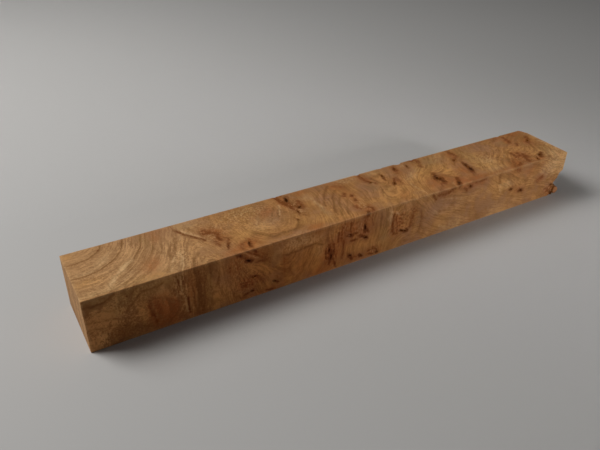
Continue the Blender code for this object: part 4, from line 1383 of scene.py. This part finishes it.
def layer_sockets(tree, name, parts):
    """The four layers of one colour attribute, by name."""
    read = node(tree, "Attribute", attribute_name=name)
    split = node(tree, "SeparateColor", {0: read.outputs["Color"]})
    return dict(zip(parts, [*split.outputs[:3], read.outputs["Alpha"]]))


# How strongly each stain and vein covers the wood, in the order that they lie on it.
STAIN_COVER = {"olive": 0.6, "mauve": 0.65, "gold": 0.6, "pale": 0.6, "brown": 0.7, "red": 0.75}
VEIN_COVER = {"pale_vein": 0.5, "vein": 0.75, "smears": 0.92}
HUE_COVER, PALE_FLECK_COVER, DARK_FLECK_COVER, LINE_COVER = 0.35, 0.6, 0.7, 0.95
RIM_COVER, EYE_COVER, PORE_COVER, WEAR_COVER, TORN_COVER = 0.85, 0.9, 0.4, 0.22, 0.8
STAIN_RAGGED, VEIN_RAGGED, EYE_RAGGED, WEAR_RAGGED = 1.2, 0.9, 0.9, 1.1
SPECKLE_AMOUNT = 0.6
TORN_ROUGHER = 0.25
WOOD_SPECULAR = 0.15
PORE_HEIGHT = -0.6
BUMP_STRENGTH, BUMP_DISTANCE = 0.25, 0.12 * MM


def burl_material(colours):
    """Elm burl: tan grain, stains, growth lines, veins, dark bud eyes and painted shade on the front."""
    material, tree, shader = new_material("elm_burl")
    place = node(tree, "TexCoord").outputs["Object"]
    place = node(tree, "Mapping", {"Vector": place, "Scale": (1 / MM,) * 3}).outputs[0]
    rings = node(tree, "Attribute", attribute_name="rings").outputs["Fac"]
    layers = {}
    for name, parts in LAYER_SETS.items():
        layers |= layer_sockets(tree, name, parts)
    inputs = {"Place": place, "Rings": rings, "Growth": layers["growth"]}
    figure = node(tree, "Group", inputs, node_tree=figure_group()).outputs
    breaks, flecks, fine, hue = (figure[name] for name in ("Break", "Flecks", "Fine", "Hue"))
    edges = edge_group()

    def ragged(name, raggedness, kind):
        inputs = {"Layer": layers[name], "Break": breaks, "Raggedness": raggedness}
        return node(tree, "Group", inputs, node_tree=edges).outputs[kind]

    def laid(under, name, *shares):
        """Lays one of the colours over the wood by the product of these shares."""
        share = shares[0]
        for other in shares[1:]:
            share = maths(tree, "MULTIPLY", share, other)
        return blend(tree, share, under, tint(getattr(colours, name)))

    patches = ramp(tree, hue, "lively_patches")
    spread = maths(tree, "MULTIPLY", ramp(tree, layers["lively"], "lively"), patches)
    grain = swayed(tree, 0.5, figure["Grain"], spread)
    speckled = maths(tree, "MULTIPLY", layers["speckled"], SPECKLE_AMOUNT)
    grain = swayed(tree, grain, figure["Speckle"], speckled)
    wood = blend(tree, grain, tint(colours.dark_tan), tint(colours.pale_tan))
    wood = blend(tree, layers["rosy"], wood, tint(colours.rosy), "MULTIPLY")
    wood = laid(wood, "gold", ramp(tree, hue, "golden"), layers["rosy"], HUE_COVER)
    wood = laid(wood, "mauve", ramp(tree, hue, "mauve"), layers["rosy"], HUE_COVER)
    for name, cover in STAIN_COVER.items():
        wood = laid(wood, name, ragged(name, STAIN_RAGGED, "Soft"), cover)
    light = ramp(tree, grain, "grain_light")
    light = node(tree, "CombineColor", dict.fromkeys(range(3), light)).outputs[0]
    wood = blend(tree, 1.0, wood, light, "MULTIPLY")
    wood = laid(wood, "pale_vein", ramp(tree, flecks, "pale_flecks"), layers["flecks"], PALE_FLECK_COVER)
    wood = laid(wood, "halo", ramp(tree, flecks, "dark_flecks"), layers["flecks"], DARK_FLECK_COVER)
    wood = laid(wood, "vein", figure["Lines"], LINE_COVER)
    for name, cover in VEIN_COVER.items():
        wood = laid(wood, name, ragged(name, VEIN_RAGGED, "Crisp"), cover)
    eye = ragged("eyes", EYE_RAGGED, "Soft")
    wood = laid(wood, "halo", ramp(tree, eye, "eye_rim"), RIM_COVER)
    wood = laid(wood, "eye", ramp(tree, eye, "eye_middle"), EYE_COVER)
    wood = laid(wood, "vein", figure["Pores"], PORE_COVER)
    # Painted shade with a darker heart: the left of the front is multiplied darker.
    wood = blend(tree, layers["heart_and_painted_shade"], wood, tint(colours.heart_and_painted_shade), "MULTIPLY")
    wood = laid(wood, "pale", ragged("wear", WEAR_RAGGED, "Soft"), WEAR_COVER)
    torn = blend(tree, ramp(tree, breaks, "bark"), tint(colours.bark), tint(colours.torn))
    wood = blend(tree, maths(tree, "MULTIPLY", layers["torn"], TORN_COVER), wood, torn)
    tree.links.new(wood, shader.inputs["Base Color"])

    rough = maths(tree, "MULTIPLY_ADD", layers["torn"], TORN_ROUGHER, ramp(tree, fine, "roughness"))
    tree.links.new(rough, shader.inputs["Roughness"])
    shader.inputs["Specular IOR Level"].default_value = WOOD_SPECULAR
    height = maths(tree, "MULTIPLY_ADD", figure["Pores"], PORE_HEIGHT, fine)
    bump = node(tree, "Bump", {"Height": height, "Strength": BUMP_STRENGTH, "Distance": BUMP_DISTANCE})
    tree.links.new(bump.outputs[0], shader.inputs["Normal"])
    return material


def shade_by_angle(mesh, degrees):
    mesh.shade_smooth()
    mesh.set_sharp_from_angle(angle=math.radians(degrees))


SHARP_FROM = 24


class BURLBLOCK_OT_block(bpy.types.Operator):
    """Build the sawn bar of elm burl, carved, worn and figured"""

    bl_idname = "burl_block.block"
    bl_label = "Burl Block"
    bl_options = {"REGISTER", "UNDO"}

    def execute(self, context):
        settings = context.scene.burl_block
        unseen = hidden_pits()
        pits = PITS + unseen
        stain_ovals = {name: list(ovals) for name, ovals in STAINS.items()}
        found, veins = hidden_figure(unseen)
        for name, ovals in found.items():
            stain_ovals[name] += ovals
        line_strokes = {**STROKES, "smears": STROKES["smears"] + veins}
        eye_ovals = pit_eyes(pits) + EYES
        every_line = [line for lines in line_strokes.values() for line in lines]
        bar = sawn_bar(settings.shape)
        carve(bar, pits)
        weathered(bar, settings.shape, eye_ovals, every_line)
        paint_figure(bar, eye_ovals, stain_ovals, line_strokes)
        shade_by_angle(bar.data, SHARP_FROM)
        bar.data.materials.clear()
        bar.data.materials.append(burl_material(settings.colours))
        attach(bar, "root")
        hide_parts(NODE)
        return {"FINISHED"}


# The camera stands where the picture was taken from, before the left end.
CAMERA_PLACE = (-181.202 * MM, -248.618 * MM, 206.740 * MM)
CAMERA_TILT = 32.70
CAMERA_HEADING = -30.766
CAMERA_ROLL = 1.093
CAMERA_LENS = 37.611
CAMERA_SENSOR = 36.0
CAMERA_NEAR = 0.01

FLOOR_REACH = 3.0
FLOOR_ROUGHNESS, FLOOR_SPECULAR = 0.85, 0.2
# A light's place, what it looks at, how wide and high it is, and how far its beam spreads in degrees.
Light = namedtuple("Light", "name place aim wide high spread")
KEY_LIGHT = Light("key_light", (-0.62, 0.42, 0.80), (0.0, 0.0, 0.0), 0.55, 0.55, 180)
FILL_LIGHT = Light("fill_light", (0.52, -0.80, 0.26), (0.115, 0.0, 0.015), 0.22, 0.22, 24)


def aimed(place, aim):
    return (Vector(aim) - Vector(place)).to_track_quat("-Z", "Y").to_matrix().to_4x4()


def stood(name, data, matrix):
    """A new object in the scene, at this place and turn."""
    obj = bpy.data.objects.new(name, data)
    obj.matrix_world = matrix
    bpy.context.scene.collection.objects.link(obj)
    return obj


def add_light(light, power):
    data = bpy.data.lights.new(light.name, "AREA")
    data.shape = "RECTANGLE"
    data.size, data.size_y = light.wide, light.high
    data.spread = math.radians(light.spread)
    data.energy = power
    stood(light.name, data, Matrix.Translation(light.place) @ aimed(light.place, light.aim))


def floor_material(floor_colour):
    material, _, shader = new_material("pale_floor")
    shader.inputs["Base Color"].default_value = tint(floor_colour)
    shader.inputs["Roughness"].default_value = FLOOR_ROUGHNESS
    shader.inputs["Specular IOR Level"].default_value = FLOOR_SPECULAR
    return material


def add_floor(studio):
    bm = bmesh.new()
    bmesh.ops.create_grid(bm, x_segments=1, y_segments=1, size=FLOOR_REACH)
    floor = object_from(bm, "floor", bpy.context.scene.collection)
    floor.data.materials.append(floor_material(studio.floor))


def add_camera():
    data = bpy.data.cameras.new("camera")
    data.lens = CAMERA_LENS
    data.sensor_width = CAMERA_SENSOR
    data.clip_start = CAMERA_NEAR
    turn = Matrix.Rotation(math.radians(CAMERA_HEADING), 4, "Z")
    tilt = Matrix.Rotation(math.radians(90 - CAMERA_TILT), 4, "X")
    roll = Matrix.Rotation(math.radians(CAMERA_ROLL), 4, "Z")
    place = Matrix.Translation(CAMERA_PLACE) @ turn @ tilt @ roll
    bpy.context.scene.camera = stood("camera", data, place)


def add_sky(strength):
    world = bpy.data.worlds.new("studio")
    world.use_nodes = True
    background = world.node_tree.nodes["Background"]
    background.inputs["Color"].default_value = (1.0, 1.0, 1.0, 1.0)
    background.inputs["Strength"].default_value = strength
    bpy.context.scene.world = world


class BURLBLOCK_OT_stage(bpy.types.Operator):
    """Set up the pale floor, the soft lights and the camera"""

    bl_idname = "burl_block.stage"
    bl_label = "Floor, Lights and Camera"
    bl_options = {"REGISTER", "UNDO"}

    def execute(self, context):
        studio = context.scene.burl_block.studio
        add_floor(studio)
        add_light(KEY_LIGHT, studio.key)
        add_light(FILL_LIGHT, studio.fill)
        add_sky(studio.sky)
        add_camera()
        context.scene.view_settings.view_transform = "Standard"
        return {"FINISHED"}


class BURLBLOCK_PT_sidebar(bpy.types.Panel):
    """Sizes, colours and the build buttons of the burl block"""

    bl_idname = "BURLBLOCK_PT_sidebar"
    bl_label = "Elm Burl Block"
    bl_space_type = "VIEW_3D"
    bl_region_type = "UI"
    bl_category = "Burl Block"

    def draw(self, context):
        settings = context.scene.burl_block
        groups = {"Shape": settings.shape, "Wood": settings.colours, "Studio": settings.studio}
        for label, group in groups.items():
            box = self.layout.box()
            box.label(text=label)
            for name in group.__annotations__:
                box.prop(group, name)
        self.layout.operator(BURLBLOCK_OT_block.bl_idname)
        self.layout.operator(BURLBLOCK_OT_stage.bl_idname)


CLASSES = (
    BurlShape,
    BurlColours,
    BurlStudio,
    BurlSettings,
    BURLBLOCK_OT_block,
    BURLBLOCK_OT_stage,
    BURLBLOCK_PT_sidebar,
)


def register():
    for cls in CLASSES:
        bpy.utils.register_class(cls)
    bpy.types.Scene.burl_block = PointerProperty(type=BurlSettings)


def unregister():
    del bpy.types.Scene.burl_block
    for cls in reversed(CLASSES):
        bpy.utils.unregister_class(cls)


def main():
    register()
    bpy.ops.burl_block.block()
    bpy.ops.burl_block.stage()


if __name__ == "__main__":
    main()
